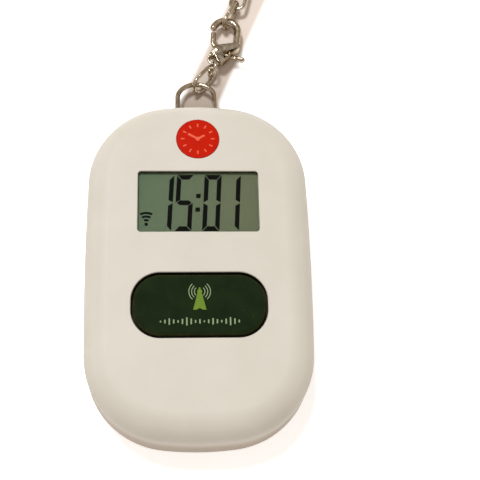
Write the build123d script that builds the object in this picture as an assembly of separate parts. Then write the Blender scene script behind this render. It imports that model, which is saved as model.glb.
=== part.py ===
from build123d import *
import os
from math import atan2, cos, degrees, hypot, radians, sin, sqrt

# A talking clock on a key chain, lying on its back. Millimetres.
# +X is to the right of the face, +Y runs towards the chain, +Z comes out of the face.
# The origin is the centre of the flat back, which lies on the table at z = 0.

# Case
CASE_WIDTH = 42.0
CASE_LENGTH = 66.0
CASE_DEPTH = 13.0
END_RADIUS = 56.0
SIDE_RADIUS = 600.0
CORNER_RADIUS = 16.0
FRONT_ROUNDING = 4.6
BACK_ROUNDING = 1.5
WALL = 1.6
FACE_WALL = 1.2
INNER_ROUNDING = 3.2
PARTING_HEIGHT = 2.2
FLOOR = 1.5
LIP_HEIGHT = 1.0
LIP_THICKNESS = 0.7
FIT_GAP = 0.1
OVERRUN = 1.0
EDGE_LEFT = 0.02

# Display
WINDOW_WIDTH = 22.5
WINDOW_LENGTH = 12.2
WINDOW_CORNER = 0.6
WINDOW_FROM_END = 21.5
WINDOW_EDGE = 0.12
GLASS_WIDTH = 26.0
GLASS_LENGTH = 16.0
GLASS_CORNER = 0.6
LENS_THICKNESS = 0.3
LENS_POCKET = 0.7
LCD_THICKNESS = 1.8
LCD_GAP = 0.1
SEGMENT_THICKNESS = 0.06
FRAME_WALL = 1.1
ZEBRA_WIDTH = 22.0
ZEBRA_LENGTH = 1.8

# Shown time and reception sign
DIGIT_HEIGHT = 11.38
DIGIT_WIDTH = 3.2
STROKE = 0.82
BAR_STROKE = 0.93
STROKE_GAP = 0.12
DIGIT_SLANT = 3.2
BAR_TAPER_SHARE = 0.6
ONE_LEFT_X = -5.17
FIVE_X = -2.64
COLON_X = -0.06
COLON_SIZE = 0.82
COLON_REACH = 1.38
ZERO_X = 2.55
ONE_RIGHT_X = 7.37
SIGN_X = -9.67
SIGN_Y = -4.33
SIGN_DOT = 0.32
SIGN_STROKE = 0.4
SIGN_FIRST = 0.84
SIGN_STEP = 0.72
SIGN_SPREAD = 29.0
SIGN_ARCS = 3

# Talk button
BUTTON_WIDTH = 23.8
BUTTON_LENGTH = 11.5
BUTTON_CORNER = 4.9
BUTTON_BELOW_WINDOW = 20.2
BUTTON_GAP = 0.4
BUTTON_RIM = 0.15
BUTTON_PROUD = 0.05
BUTTON_EDGE = 0.7
BUTTON_TRAVEL = 0.6
BUTTON_FLANGE = 0.9
FLANGE_THICKNESS = 0.9
PRINT_THICKNESS = 0.05
TOWER_X = 0.05
TOWER_TOP = 3.18
TOWER_FOOT = -1.02
TOWER_HALF = 1.2
TOWER_TIP = 0.12
TOWER_NOTCH = 0.3
TOWER_BALL = 0.45
TOWER_BALL_Y = 2.4
WAVE_FIRST = 0.95
WAVE_STEP = 0.5
WAVE_STROKE = 0.15
WAVE_SPREAD = 48.0
WAVE_ARCS = 3
BAR_ROW_WIDTH = 14.0
BAR_ROW_Y = -3.2
BAR_COUNT = 19
BAR_WIDTH = 0.26
BAR_HEIGHT_MOST = 1.5
BAR_HEIGHT_SHARES = (0.2, 0.45, 0.8, 0.5, 0.3, 0.65, 1.0, 0.7, 0.35, 0.55)

# Badge
BADGE_DIAMETER = 8.1
BADGE_FROM_END = 8.65
BADGE_THICKNESS = 0.6
BADGE_POCKET = 0.55
BADGE_GAP = 0.08
TICK_RING = 6.4
TICK_LENGTH = 0.7
TICK_WIDTH = 0.28
TICK_COUNT = 12
HAND_WIDTH = 0.42
HOUR_HAND = 1.5
MINUTE_HAND = 2.1
HOUR_ANGLE = 60.0
MINUTE_ANGLE = -60.0

# Circuit board and what it carries
BOARD_TOP = 8.6
BOARD_THICKNESS = 1.0
BOARD_SIDE_GAP = 3.5
BOARD_HEAD_GAP = 8.0
BOARD_FOOT_GAP = 6.0
BOARD_CORNER = 13.0
BLOB_RADIUS = 3.0
BLOB_HEIGHT = 0.9
BLOB_INSET = 5.1
BLOB_ABOVE_SWITCH = 5.9
CRYSTAL_DIAMETER = 2.0
CRYSTAL_LENGTH = 6.0
CRYSTAL_INSET = 4.1
CHIP_LENGTH = 1.6
CHIP_WIDTH = 0.8
CHIP_HEIGHT = 0.6
CHIP_STEP = 2.2
CHIP_COUNT = 4
CHIP_INSET = 3.3
ROW_GAP = 1.1
MEMBRANE_WIDTH = 20.0
MEMBRANE_LENGTH = 10.0
MEMBRANE_CORNER = 3.0
MEMBRANE_BASE = 0.5
DOME_RADIUS = 3.4
DOME_TOP_RADIUS = 2.2
DOME_WALL = 0.35
PILL_RADIUS = 1.3
PILL_HEIGHT = 0.3

# Speaker
SPEAKER_ROD_GAP = 2.1
SPEAKER_BUTTON_GAP = 1.8
SPEAKER_RIM_SHARE = 0.08
SPEAKER_HEIGHT = 3.4
SPEAKER_WALL = 0.6
GASKET_THICKNESS = 0.5
MAGNET_SHARE = 0.45
MAGNET_HEIGHT = 1.6
CONE_THICKNESS = 0.3
CONE_DIP = 0.9
CONE_CAP_SHARE = 0.3
CRADLE_WALL = 1.0
CRADLE_HEIGHT = 2.4
GRILLE_HOLE_SHARE = 0.065
GRILLE_PITCH_SHARE = 0.125
GRILLE_RINGS = 2

# Aerial for the time signal
ROD_DIAMETER = 4.4
ROD_LENGTH = 25.0
ROD_FROM_END = 9.6
ROD_HEIGHT = 4.3
WINDING_DIAMETER = 5.0
WINDING_LENGTH = 12.0
SADDLE_WIDTH = 1.6
SADDLE_HEIGHT = 3.4
SADDLE_INSET = 2.9

# Battery bay
CELL_DIAMETER = 11.6
CELL_HEIGHT = 5.4
CELL_GAP = 0.4
CELL_ROUNDING = 0.3
BAY_FROM_FOOT = 13.0
BAY_GAP = 0.4
BAY_WALL = 1.4
COVER_THICKNESS = 1.2
COVER_RECESS = 0.1
COVER_LEDGE = 0.9
COVER_CORNER = 1.2
COVER_GAP = 0.15
COVER_TAB_RADIUS = 2.3
TONGUE_WIDTH = 3.0
TONGUE_LENGTH = 0.9
TONGUE_THICKNESS = 0.55
TONGUE_X = 7.5
RIB_COUNT = 5
RIB_WIDTH = 0.5
RIB_DEPTH = 0.25
RIB_STEP = 1.3
CONTACT_WIDTH = 5.0
CONTACT_LENGTH = 7.0
BRIDGE_THICKNESS = 0.4
BRIDGE_WIDTH = 18.0
BRIDGE_LENGTH = 5.0

# Screws
SCREW_BAY_GAP = 0.8
SCREW_FROM_END = 15.0
BOSS_RADIUS = 2.2
BOSS_NECK = 1.6
BORE_RADIUS = 0.85
SCREW_RADIUS = 0.8
SCREW_LENGTH = 6.0
HEAD_RADIUS = 1.5
HEAD_HEIGHT = 0.9
HEAD_RECESS = 0.3
DRIVE_WIDTH = 0.35
DRIVE_LENGTH = 1.8
DRIVE_DEPTH = 0.45

# Setting buttons in the back
SETTING_X = 11.6
SETTING_ABOVE_BAY = 4.0
SETTING_RADIUS = 1.8
SETTING_GAP = 0.15
SETTING_RECESS = 0.25
SETTING_TRAVEL = 0.4
SETTING_FLANGE = 0.7
SETTING_STEM_RADIUS = 1.0
SWITCH_SIZE = 3.6
SWITCH_HEIGHT = 1.6
PLUNGER_RADIUS = 0.8
PLUNGER_HEIGHT = 0.8

# Ring at the end of the case
RING_BAR_INSET = 3.0
RING_BAR_Z = 5.4
RING_WIRE = 1.0
RING_HALF = 3.8
RING_REACH = 12.8
RING_BEND = 0.9
RING_DROOP = 15.2
RING_PLAY = 0.08
RING_SWING = 35.0
SLOT_GAP = 0.35
LUG_DEPTH = 2.9
LUG_HEIGHT = 5.2
LUG_GAP = 0.25

# Chain: how each piece lies is given by four angles: where on its parent's bend it hangs,
# its heading to the right of +Y, its fall below the level and its roll, which lifts its right side.
LINK_1_WIRE = 0.84
LINK_1_LENGTH = 6.25
LINK_1_WIDTH = 3.25
LINK_1_PLAY = 0.57
LINK_1_TURNS = (10.0, 39.0, 1.0, -65.0)
LINK_2_WIRE = 0.58
LINK_2_WIDTH = 3.3
LINK_2_PLAY = 1.0
LINK_2_TURNS = (-19.0, 20.4, -24.7, 66.0)
CLASP_PLAY = 0.15
CLASP_TURNS = (-21.0, 6.4, 3.0, -2.0)
UPPER_WIRE = 0.8
UPPER_LENGTH = 6.4
UPPER_WIDTH = 3.0
UPPER_PLAY = 0.41
UPPER_1_TURNS = (2.7, 27.9, -0.6, -81.0)
UPPER_2_TURNS = (0.0, 14.0, 0.0, 9.7)
UPPER_3_TURNS = (0.0, 24.0, 0.0, -66.0)
KEY_RING_TURNS = (0.0, 18.0, 2.9, 0.0)
KEY_RING_DIAMETER = 23.0
KEY_RING_WIRE = 1.0
KEY_RING_SEAM = 0.65
KEY_RING_PLAY = 0.4

# Clasp, in its own plane: across it and along it from the middle of the eye's near wire
EYE_WIRE = 0.62
EYE_DIAMETER = 2.42
HOOK_WIRE = 1.5
HOOK_RADIUS = 2.61
HOOK_X = 1.69
HOOK_Y = 8.44
HOOK_END_ANGLE = 169.0
ARM_Y = 4.75
PIVOT_X = 0.5
PIVOT_Y = 3.3
CHEEK_RADIUS = 1.15
CHEEK_THICKNESS = 0.4
HEEL_X = 1.35
HEEL_Y = 0.95
HEEL_RADIUS = 0.8
WEB_X = -0.75
WEB_Y = 1.95
WEB_RADIUS = 0.42
POCKET_FAR_X = 4.3
POCKET_FAR_Y = 4.05
POCKET_LEFT_X = 1.85
POCKET_LEFT_Y = 2.55
POCKET_LOW_X = 2.05
POCKET_LOW_Y = 1.25
FORK_WIDTH = 1.1
LEVER_THICKNESS = 0.65
LEVER_OFFSET = -0.15
KNUCKLE_RADIUS = 0.8
GATE_WIDTH = 1.2
GATE_BEND_X = -0.55
GATE_BEND_Y = 5.3
GATE_GAP = 0.15
TAB_BEND_X = 3.4
TAB_BEND_Y = 2.45
TAB_TIP_X = 5.55
TAB_TIP_Y = 2.0
TAB_WIDTH = 1.0
TAB_PAD_LENGTH = 1.3
TAB_PAD_THICKNESS = 1.3
PIN_RADIUS = 0.3
PIN_GAP = 0.03
LEVER_SWING = 20.0
SPRING_WIRE = 0.16
SPRING_RADIUS = 0.55

# Worked-out places and sizes
FACE_TOP = CASE_DEPTH
FACE_UNDER = FACE_TOP - FACE_WALL
LENS_TOP = FACE_UNDER + LENS_POCKET
LENS_LOW = LENS_TOP - LENS_THICKNESS
LCD_TOP = LENS_LOW - LCD_GAP
LCD_LOW = LCD_TOP - LCD_THICKNESS
BOARD_LOW = BOARD_TOP - BOARD_THICKNESS
BUTTON_TOP = FACE_TOP + BUTTON_PROUD
FLANGE_TOP = FACE_UNDER - FIT_GAP
FLANGE_LOW = FLANGE_TOP - FLANGE_THICKNESS
COVER_TOP = COVER_RECESS + COVER_THICKNESS
CELL_LOW = COVER_TOP + BRIDGE_THICKNESS
CELL_TOP = CELL_LOW + CELL_HEIGHT
CELL_X = (CELL_DIAMETER + CELL_GAP) / 2
BAY_WIDTH = 2 * CELL_DIAMETER + CELL_GAP + 2 * BAY_GAP
BAY_LENGTH = CELL_DIAMETER + 2 * BAY_GAP
OPENING_WIDTH = BAY_WIDTH + 2 * COVER_LEDGE
OPENING_LENGTH = BAY_LENGTH + 2 * COVER_LEDGE
CASE_END = CASE_LENGTH / 2
RING_BAR_Y = CASE_END - RING_BAR_INSET
BADGE_Y = CASE_END - BADGE_FROM_END
WINDOW_Y = CASE_END - WINDOW_FROM_END
BUTTON_Y = WINDOW_Y - BUTTON_BELOW_WINDOW
ROW_Y = WINDOW_Y - GLASS_LENGTH / 2 - FRAME_WALL - ROW_GAP - CRYSTAL_DIAMETER / 2
BAY_Y = BAY_FROM_FOOT - CASE_END
BAY_TOP_Y = BAY_Y + BAY_LENGTH / 2 + BAY_WALL
COVER_SCREW_Y = BAY_Y - OPENING_LENGTH / 2 - COVER_TAB_RADIUS / 3
SETTING_Y = BAY_TOP_Y + SETTING_ABOVE_BAY
SCREW_X = BAY_WIDTH / 2 + BAY_WALL + SCREW_BAY_GAP + BOSS_RADIUS
SCREW_Y = CASE_END - SCREW_FROM_END
ROD_Y = CASE_END - ROD_FROM_END
SADDLE_X = ROD_LENGTH / 2 - SADDLE_INSET
CRADLE_LOW_Y = SETTING_Y + SETTING_RADIUS + SETTING_FLANGE + SPEAKER_BUTTON_GAP
CRADLE_TOP_Y = ROD_Y - ROD_DIAMETER / 2 - CRADLE_WALL - SPEAKER_ROD_GAP
SPEAKER_Y = (CRADLE_LOW_Y + CRADLE_TOP_Y) / 2
SPEAKER_DIAMETER = CRADLE_TOP_Y - CRADLE_LOW_Y - 2 * CRADLE_WALL - 2 * FIT_GAP
SPEAKER_RIM = SPEAKER_DIAMETER * SPEAKER_RIM_SHARE
MAGNET_DIAMETER = SPEAKER_DIAMETER * MAGNET_SHARE
CONE_CAP = SPEAKER_DIAMETER * CONE_CAP_SHARE
GRILLE_HOLE = SPEAKER_DIAMETER * GRILLE_HOLE_SHARE
GRILLE_PITCH = SPEAKER_DIAMETER * GRILLE_PITCH_SHARE
BOARD_WIDTH = CASE_WIDTH - 2 * BOARD_SIDE_GAP
BOARD_LENGTH = CASE_LENGTH - BOARD_HEAD_GAP - BOARD_FOOT_GAP
BOARD_Y = (BOARD_FOOT_GAP - BOARD_HEAD_GAP) / 2
BLOB_X = BOARD_WIDTH / 2 - BLOB_INSET
BLOB_Y = SETTING_Y + BLOB_ABOVE_SWITCH
CRYSTAL_X = CRYSTAL_INSET - BOARD_WIDTH / 2
CHIP_X = BOARD_WIDTH / 2 - CHIP_INSET
ARM_X = HOOK_X + HOOK_RADIUS


def block(width, length, low, high, x=0, y=0):
    return Pos(x, y, (low + high) / 2) * Box(width, length, high - low)


def soft_block(width, length, corner, low, high, x=0, y=0):
    face = Pos(x, y, low) * RectangleRounded(width, length, corner)
    return extrude(face, high - low)


def rod(radius, low, high, x=0, y=0):
    return Pos(x, y, (low + high) / 2) * Cylinder(radius, high - low)


def case_outline(inset, height):
    """The oval of the case, drawn in by inset, as a face at this height."""
    half_length = CASE_LENGTH / 2
    half_width = CASE_WIDTH / 2
    end_y = half_length - END_RADIUS
    side_x = half_width - SIDE_RADIUS
    to_end = END_RADIUS - CORNER_RADIUS
    to_side = SIDE_RADIUS - CORNER_RADIUS
    span = hypot(side_x, end_y)
    along = (to_end**2 - to_side**2 + span**2) / (2 * span)
    off = sqrt(to_end**2 - along**2)
    unit_x, unit_y = side_x / span, -end_y / span
    corner_x = along * unit_x + off * unit_y
    corner_y = end_y + along * unit_y - off * unit_x
    end_angle = atan2(corner_y - end_y, corner_x)
    side_angle = atan2(corner_y, corner_x - side_x)
    middle_angle = (end_angle + side_angle) / 2
    end_r, side_r, corner_r = END_RADIUS - inset, SIDE_RADIUS - inset, CORNER_RADIUS - inset
    top = (0, half_length - inset)
    end_point = (end_r * cos(end_angle), end_y + end_r * sin(end_angle))
    middle = (corner_x + corner_r * cos(middle_angle), corner_y + corner_r * sin(middle_angle))
    side_point = (side_x + side_r * cos(side_angle), side_r * sin(side_angle))
    side = (half_width - inset, 0)
    quarter = [
        ThreePointArc(top, end_arc_middle(end_y, end_r, end_angle), end_point),
        ThreePointArc(end_point, middle, side_point),
        ThreePointArc(side_point, side_arc_middle(side_x, side_r, side_angle), side),
    ]
    upper = quarter + [mirror(edge, Plane.YZ) for edge in quarter]
    edges = upper + [mirror(edge, Plane.XZ) for edge in upper]
    return Pos(0, 0, height) * make_face(edges)


def end_arc_middle(end_y, radius, end_angle):
    angle = (end_angle + radians(90)) / 2
    return (radius * cos(angle), end_y + radius * sin(angle))


def side_arc_middle(side_x, radius, side_angle):
    angle = side_angle / 2
    return (side_x + radius * cos(angle), radius * sin(angle))


def case_slab(inset, low, high):
    return extrude(case_outline(inset, low), high - low)


def screw_places():
    return [(x, y) for x in (-SCREW_X, SCREW_X) for y in (-SCREW_Y, SCREW_Y)]


def ring_slots():
    swing = radians(RING_SWING)
    reach = CASE_LENGTH / 2 - RING_BAR_Y
    rise = reach * sin(swing) / cos(swing) + RING_WIRE / 2 / cos(swing) + SLOT_GAP
    width = RING_WIRE + 2 * SLOT_GAP
    length = reach + OVERRUN
    low = PARTING_HEIGHT - OVERRUN / 2
    slot = block(width, length, low, RING_BAR_Z + rise, y=RING_BAR_Y + length / 2)
    return Pos(-RING_HALF, 0, 0) * slot + Pos(RING_HALF, 0, 0) * slot


def lug_width():
    return 2 * (RING_HALF - RING_WIRE / 2 - LUG_GAP)


def ring_lug():
    low = PARTING_HEIGHT
    high = RING_BAR_Z + LUG_HEIGHT / 2
    back = RING_BAR_Y - LUG_DEPTH / 2
    length = CASE_LENGTH / 2 - WALL / 2 - back
    lug = block(lug_width(), length, low, high, y=back + length / 2)
    channel_width = RING_WIRE + 2 * RING_PLAY
    channel = block(lug_width() + OVERRUN, channel_width, low - OVERRUN, RING_BAR_Z, y=RING_BAR_Y)
    bore = Pos(0, RING_BAR_Y, RING_BAR_Z) * Rot(0, 90, 0) * Cylinder(
        channel_width / 2, lug_width() + OVERRUN
    )
    return lug - channel - bore


def front_boss(x, y):
    boss = rod(BOSS_RADIUS, BOARD_TOP, FACE_UNDER, x, y) + rod(BOSS_NECK, FLOOR, BOARD_TOP, x, y)
    return boss, rod(BORE_RADIUS, FLOOR - OVERRUN, HEAD_RECESS + SCREW_LENGTH + FIT_GAP, x, y)


def front_shell():
    shell = case_slab(0, PARTING_HEIGHT, FACE_TOP)
    shell = fillet(shell.edges().group_by(Axis.Z)[-1], FRONT_ROUNDING)
    hollow = case_slab(WALL, PARTING_HEIGHT - OVERRUN, FACE_UNDER)
    shell -= fillet(hollow.edges().group_by(Axis.Z)[-1], INNER_ROUNDING)
    shell -= case_slab(WALL - LIP_THICKNESS - FIT_GAP, PARTING_HEIGHT - OVERRUN,
                       PARTING_HEIGHT + LIP_HEIGHT + FIT_GAP)
    shell -= face_opening(WINDOW_WIDTH, WINDOW_LENGTH, WINDOW_CORNER, WINDOW_EDGE, WINDOW_Y)
    shell -= soft_block(GLASS_WIDTH + FIT_GAP, GLASS_LENGTH + FIT_GAP, GLASS_CORNER,
                        FACE_UNDER - OVERRUN, LENS_TOP, y=WINDOW_Y)
    shell -= face_opening(BUTTON_WIDTH + 2 * BUTTON_GAP, BUTTON_LENGTH + 2 * BUTTON_GAP,
                          BUTTON_CORNER + BUTTON_GAP, BUTTON_RIM, BUTTON_Y)
    shell -= rod(BADGE_DIAMETER / 2 + BADGE_GAP, FACE_TOP - BADGE_POCKET, FACE_TOP + OVERRUN,
                 y=BADGE_Y)
    shell += ring_lug()
    shell -= ring_slots()
    for x, y in screw_places():
        boss, bore = front_boss(x, y)
        shell = shell + boss - bore
    return shell


def face_opening(width, length, corner, edge, y):
    """An opening through the face that widens by edge where it meets the top."""
    opening = soft_block(width, length, corner, FACE_UNDER - OVERRUN, FACE_TOP, y=y)
    flare = soft_block(width + 2 * edge, length + 2 * edge, corner + edge, FACE_TOP - edge,
                       FACE_TOP + edge, y=y)
    return opening + chamfer(flare.edges().group_by(Axis.Z)[0], edge - EDGE_LEFT)


def cover_shape(gap):
    """The battery cover and its screw tab, drawn in by gap on every side."""
    plate = soft_block(OPENING_WIDTH - 2 * gap, OPENING_LENGTH - 2 * gap, COVER_CORNER,
                       COVER_RECESS, COVER_TOP, y=BAY_Y)
    return plate + rod(COVER_TAB_RADIUS - gap, COVER_RECESS, COVER_TOP, y=COVER_SCREW_Y)


def cover_tongues(gap):
    width = TONGUE_WIDTH + 2 * gap
    length = COVER_GAP + OVERRUN + TONGUE_LENGTH + gap
    end = BAY_Y + OPENING_LENGTH / 2 + TONGUE_LENGTH + gap
    low = COVER_TOP - TONGUE_THICKNESS - gap
    tongue = block(width, length, low, COVER_TOP, y=end - length / 2)
    return Pos(-TONGUE_X, 0, 0) * tongue + Pos(TONGUE_X, 0, 0) * tongue


def battery_bay():
    wall = soft_block(BAY_WIDTH + 2 * BAY_WALL, BAY_LENGTH + 2 * BAY_WALL, COVER_CORNER,
                      COVER_TOP, CELL_TOP, y=BAY_Y)
    return wall + rod(COVER_TAB_RADIUS, COVER_TOP, CELL_LOW + SCREW_LENGTH / 2 + OVERRUN,
                      y=COVER_SCREW_Y)


def battery_hollow():
    hollow = soft_block(BAY_WIDTH, BAY_LENGTH, COVER_CORNER, COVER_TOP - OVERRUN,
                        CELL_TOP + OVERRUN, y=BAY_Y)
    bore = rod(BORE_RADIUS, COVER_TOP - OVERRUN, HEAD_RECESS + SCREW_LENGTH / 2 + FIT_GAP,
               y=COVER_SCREW_Y)
    return hollow + bore


def speaker_cradle():
    radius = SPEAKER_DIAMETER / 2 + FIT_GAP
    cradle = rod(radius + CRADLE_WALL, FLOOR, FLOOR + CRADLE_HEIGHT, y=SPEAKER_Y)
    return cradle - rod(radius, FLOOR, FLOOR + CRADLE_HEIGHT + OVERRUN, y=SPEAKER_Y)


def grille_places():
    places = [(0, 0)]
    for ring in range(1, GRILLE_RINGS + 1):
        count = 6 * ring
        for step in range(count):
            angle = radians(360 * step / count)
            places.append((ring * GRILLE_PITCH * cos(angle), ring * GRILLE_PITCH * sin(angle)))
    return places


def rod_saddle(x):
    radius = ROD_DIAMETER / 2 + FIT_GAP
    saddle = block(SADDLE_WIDTH, ROD_DIAMETER + 2 * CRADLE_WALL, FLOOR, SADDLE_HEIGHT, x, ROD_Y)
    return saddle - Pos(x, ROD_Y, ROD_HEIGHT) * Rot(0, 90, 0) * Cylinder(radius, ROD_LENGTH)


def ring_keeper():
    """The rib that closes the channel of the lug under the ring's bar."""
    top = RING_BAR_Z - RING_WIRE / 2 - RING_PLAY
    width = RING_WIRE + 2 * RING_PLAY - 2 * FIT_GAP
    return block(lug_width(), width, FLOOR, top, y=RING_BAR_Y)


def lip_gap():
    """The stretch of the lip that is left out for the lug and the ring's legs."""
    width = 2 * RING_HALF + RING_WIRE + 2 * SLOT_GAP
    length = CASE_LENGTH / 2 - RING_BAR_Y + OVERRUN
    return block(width, length, PARTING_HEIGHT, PARTING_HEIGHT + LIP_HEIGHT + OVERRUN,
                 y=RING_BAR_Y + length / 2)


def rear_shell():
    shell = case_slab(0, 0, PARTING_HEIGHT)
    shell = fillet(shell.edges().group_by(Axis.Z)[0], BACK_ROUNDING)
    lip = case_slab(WALL - LIP_THICKNESS, PARTING_HEIGHT, PARTING_HEIGHT + LIP_HEIGHT)
    shell += lip - lip_gap()
    shell -= case_slab(WALL, FLOOR, PARTING_HEIGHT + LIP_HEIGHT + OVERRUN)
    shell -= cover_shape(0) + Pos(0, 0, -COVER_RECESS) * cover_shape(0)
    shell += battery_bay() + speaker_cradle() + ring_keeper()
    shell += rod_saddle(-SADDLE_X) + rod_saddle(SADDLE_X)
    shell -= battery_hollow()
    shell -= cover_tongues(COVER_GAP)
    for x, y in grille_places():
        shell -= rod(GRILLE_HOLE / 2, -OVERRUN, FLOOR, x, SPEAKER_Y + y)
    for x in (-SETTING_X, SETTING_X):
        shell -= rod(SETTING_RADIUS + SETTING_GAP, -OVERRUN, FLOOR + OVERRUN, x, SETTING_Y)
    for x, y in screw_places():
        shell -= rod(HEAD_RADIUS + FIT_GAP, -OVERRUN, HEAD_RECESS + HEAD_HEIGHT, x, y)
        shell -= rod(SCREW_RADIUS + FIT_GAP, 0, FLOOR + OVERRUN, x, y)
    return shell


def battery_cover():
    cover = cover_shape(COVER_GAP) + cover_tongues(0)
    cover -= rod(HEAD_RADIUS + FIT_GAP, 0, HEAD_RECESS + HEAD_HEIGHT / 2, y=COVER_SCREW_Y)
    cover -= rod(SCREW_RADIUS + FIT_GAP, 0, COVER_TOP + OVERRUN, y=COVER_SCREW_Y)
    first = BAY_Y + OPENING_LENGTH / 2 - COVER_CORNER - RIB_STEP
    for index in range(RIB_COUNT):
        cover -= block(BRIDGE_WIDTH / 2, RIB_WIDTH, 0, COVER_RECESS + RIB_DEPTH,
                       y=first - index * RIB_STEP)
    return cover


def screw(x, y, length, head_height):
    low = HEAD_RECESS
    body = rod(HEAD_RADIUS, low, low + head_height, x, y) + rod(SCREW_RADIUS, low, low + length, x, y)
    for turn in (0, 90):
        body -= Pos(x, y, low) * Rot(0, 0, turn) * Box(DRIVE_LENGTH, DRIVE_WIDTH, DRIVE_DEPTH)
    return body


def display_frame():
    outer = soft_block(GLASS_WIDTH + 2 * FRAME_WALL, GLASS_LENGTH + 2 * FRAME_WALL,
                       GLASS_CORNER + FRAME_WALL, BOARD_TOP, FACE_UNDER, y=WINDOW_Y)
    seat = soft_block(GLASS_WIDTH + FIT_GAP, GLASS_LENGTH + FIT_GAP, GLASS_CORNER,
                      LCD_LOW, FACE_UNDER + OVERRUN, y=WINDOW_Y)
    throat = soft_block(GLASS_WIDTH - 2 * FRAME_WALL, GLASS_LENGTH - 2 * FRAME_WALL, GLASS_CORNER,
                        BOARD_TOP - OVERRUN, LCD_LOW + OVERRUN, y=WINDOW_Y)
    return outer - seat - throat


def slanted(points):
    """A flat face through points that lean over like the figures of the display."""
    lean = sin(radians(DIGIT_SLANT)) / cos(radians(DIGIT_SLANT))
    corners = [(x + y * lean, y) for x, y in points]
    return make_face(Polyline(*corners, close=True))


def digit_strokes():
    """The seven strokes of a figure, as outlines about its middle."""
    half, tall, gap, rise = DIGIT_WIDTH / 2, DIGIT_HEIGHT / 2, STROKE_GAP, BAR_STROKE / 2
    inner, under = half - STROKE, tall - BAR_STROKE
    cap = [(gap - half, tall), (half - gap, tall), (inner - gap, under), (gap - inner, under)]
    side = [(half, tall - gap), (half, gap), (inner, gap + rise), (inner, under - gap)]
    tip = half - 2 * gap
    bend = tip - BAR_STROKE * BAR_TAPER_SHARE
    bar = [(-tip, 0), (-bend, rise), (bend, rise), (tip, 0), (bend, -rise), (-bend, -rise)]
    return {
        "top": cap,
        "bottom": [(x, -y) for x, y in cap],
        "upper_right": side,
        "lower_right": [(x, -y) for x, y in side],
        "upper_left": [(-x, y) for x, y in side],
        "lower_left": [(-x, -y) for x, y in side],
        "middle": bar,
    }


def figure(names, x):
    strokes = digit_strokes()
    return [Pos(x, 0, 0) * slanted(strokes[name]) for name in names]


def colon():
    """Two leaning squares, above and below the middle."""
    half = COLON_SIZE / 2
    squares = []
    for y in (COLON_REACH, -COLON_REACH):
        corners = [(-half, y - half), (half, y - half), (half, y + half), (-half, y + half)]
        squares.append(Pos(COLON_X, 0, 0) * slanted(corners))
    return squares


def polar(radius, angle):
    return (radius * cos(angle), radius * sin(angle))


def arc_band(radius, stroke, middle_angle, spread):
    """A flat curved stroke about the origin."""
    outer, inner = radius + stroke / 2, radius - stroke / 2
    low, high = radians(middle_angle - spread), radians(middle_angle + spread)
    middle = radians(middle_angle)
    edges = [
        ThreePointArc(polar(outer, low), polar(outer, middle), polar(outer, high)),
        Line(polar(outer, high), polar(inner, high)),
        ThreePointArc(polar(inner, high), polar(inner, middle), polar(inner, low)),
        Line(polar(inner, low), polar(outer, low)),
    ]
    return make_face(edges)


def reception_sign():
    faces = [Circle(SIGN_DOT)]
    for index in range(SIGN_ARCS):
        faces.append(arc_band(SIGN_FIRST + index * SIGN_STEP, SIGN_STROKE, 90, SIGN_SPREAD))
    return [Pos(SIGN_X, SIGN_Y, 0) * face for face in faces]


def lcd_segments():
    one = ("upper_right", "lower_right")
    five = ("top", "upper_left", "middle", "lower_right", "bottom")
    zero = ("top", "upper_right", "lower_right", "bottom", "lower_left", "upper_left")
    stem = (DIGIT_WIDTH - STROKE) / 2
    faces = figure(one, ONE_LEFT_X - stem) + figure(five, FIVE_X) + figure(zero, ZERO_X)
    faces += figure(one, ONE_RIGHT_X - stem) + reception_sign()
    faces += colon()
    solids = [extrude(Pos(0, WINDOW_Y, LCD_TOP) * face, SEGMENT_THICKNESS) for face in faces]
    return Compound(children=solids)


def talk_button():
    skin = (BUTTON_TOP - FLANGE_TOP) / 2
    cap = soft_block(BUTTON_WIDTH, BUTTON_LENGTH, BUTTON_CORNER, FLANGE_LOW, BUTTON_TOP, y=BUTTON_Y)
    cap = fillet(cap.edges().group_by(Axis.Z)[-1], BUTTON_EDGE)
    cap += soft_block(BUTTON_WIDTH + 2 * BUTTON_FLANGE, BUTTON_LENGTH + 2 * BUTTON_FLANGE,
                      BUTTON_CORNER + BUTTON_FLANGE, FLANGE_LOW, FLANGE_TOP, y=BUTTON_Y)
    cap -= soft_block(BUTTON_WIDTH - 2 * WALL, BUTTON_LENGTH - 2 * WALL, BUTTON_CORNER - WALL,
                      FLANGE_LOW - OVERRUN, BUTTON_TOP - skin, y=BUTTON_Y)
    return cap + rod(DOME_TOP_RADIUS, FLANGE_LOW, BUTTON_TOP - skin, y=BUTTON_Y)


def on_button(faces):
    return Compound(children=[
        extrude(Pos(0, BUTTON_Y, BUTTON_TOP) * face, PRINT_THICKNESS) for face in faces
    ])


def tower_print():
    mast = make_face(Polyline(
        (TOWER_X - TOWER_TIP, TOWER_TOP), (TOWER_X + TOWER_TIP, TOWER_TOP),
        (TOWER_X + TOWER_HALF, TOWER_FOOT), (TOWER_X + TOWER_HALF / 2, TOWER_FOOT),
        (TOWER_X, TOWER_FOOT + TOWER_NOTCH), (TOWER_X - TOWER_HALF / 2, TOWER_FOOT),
        (TOWER_X - TOWER_HALF, TOWER_FOOT), close=True))
    ball = Pos(TOWER_X, TOWER_BALL_Y, 0) * Circle(TOWER_BALL)
    return on_button([mast + ball])


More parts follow.
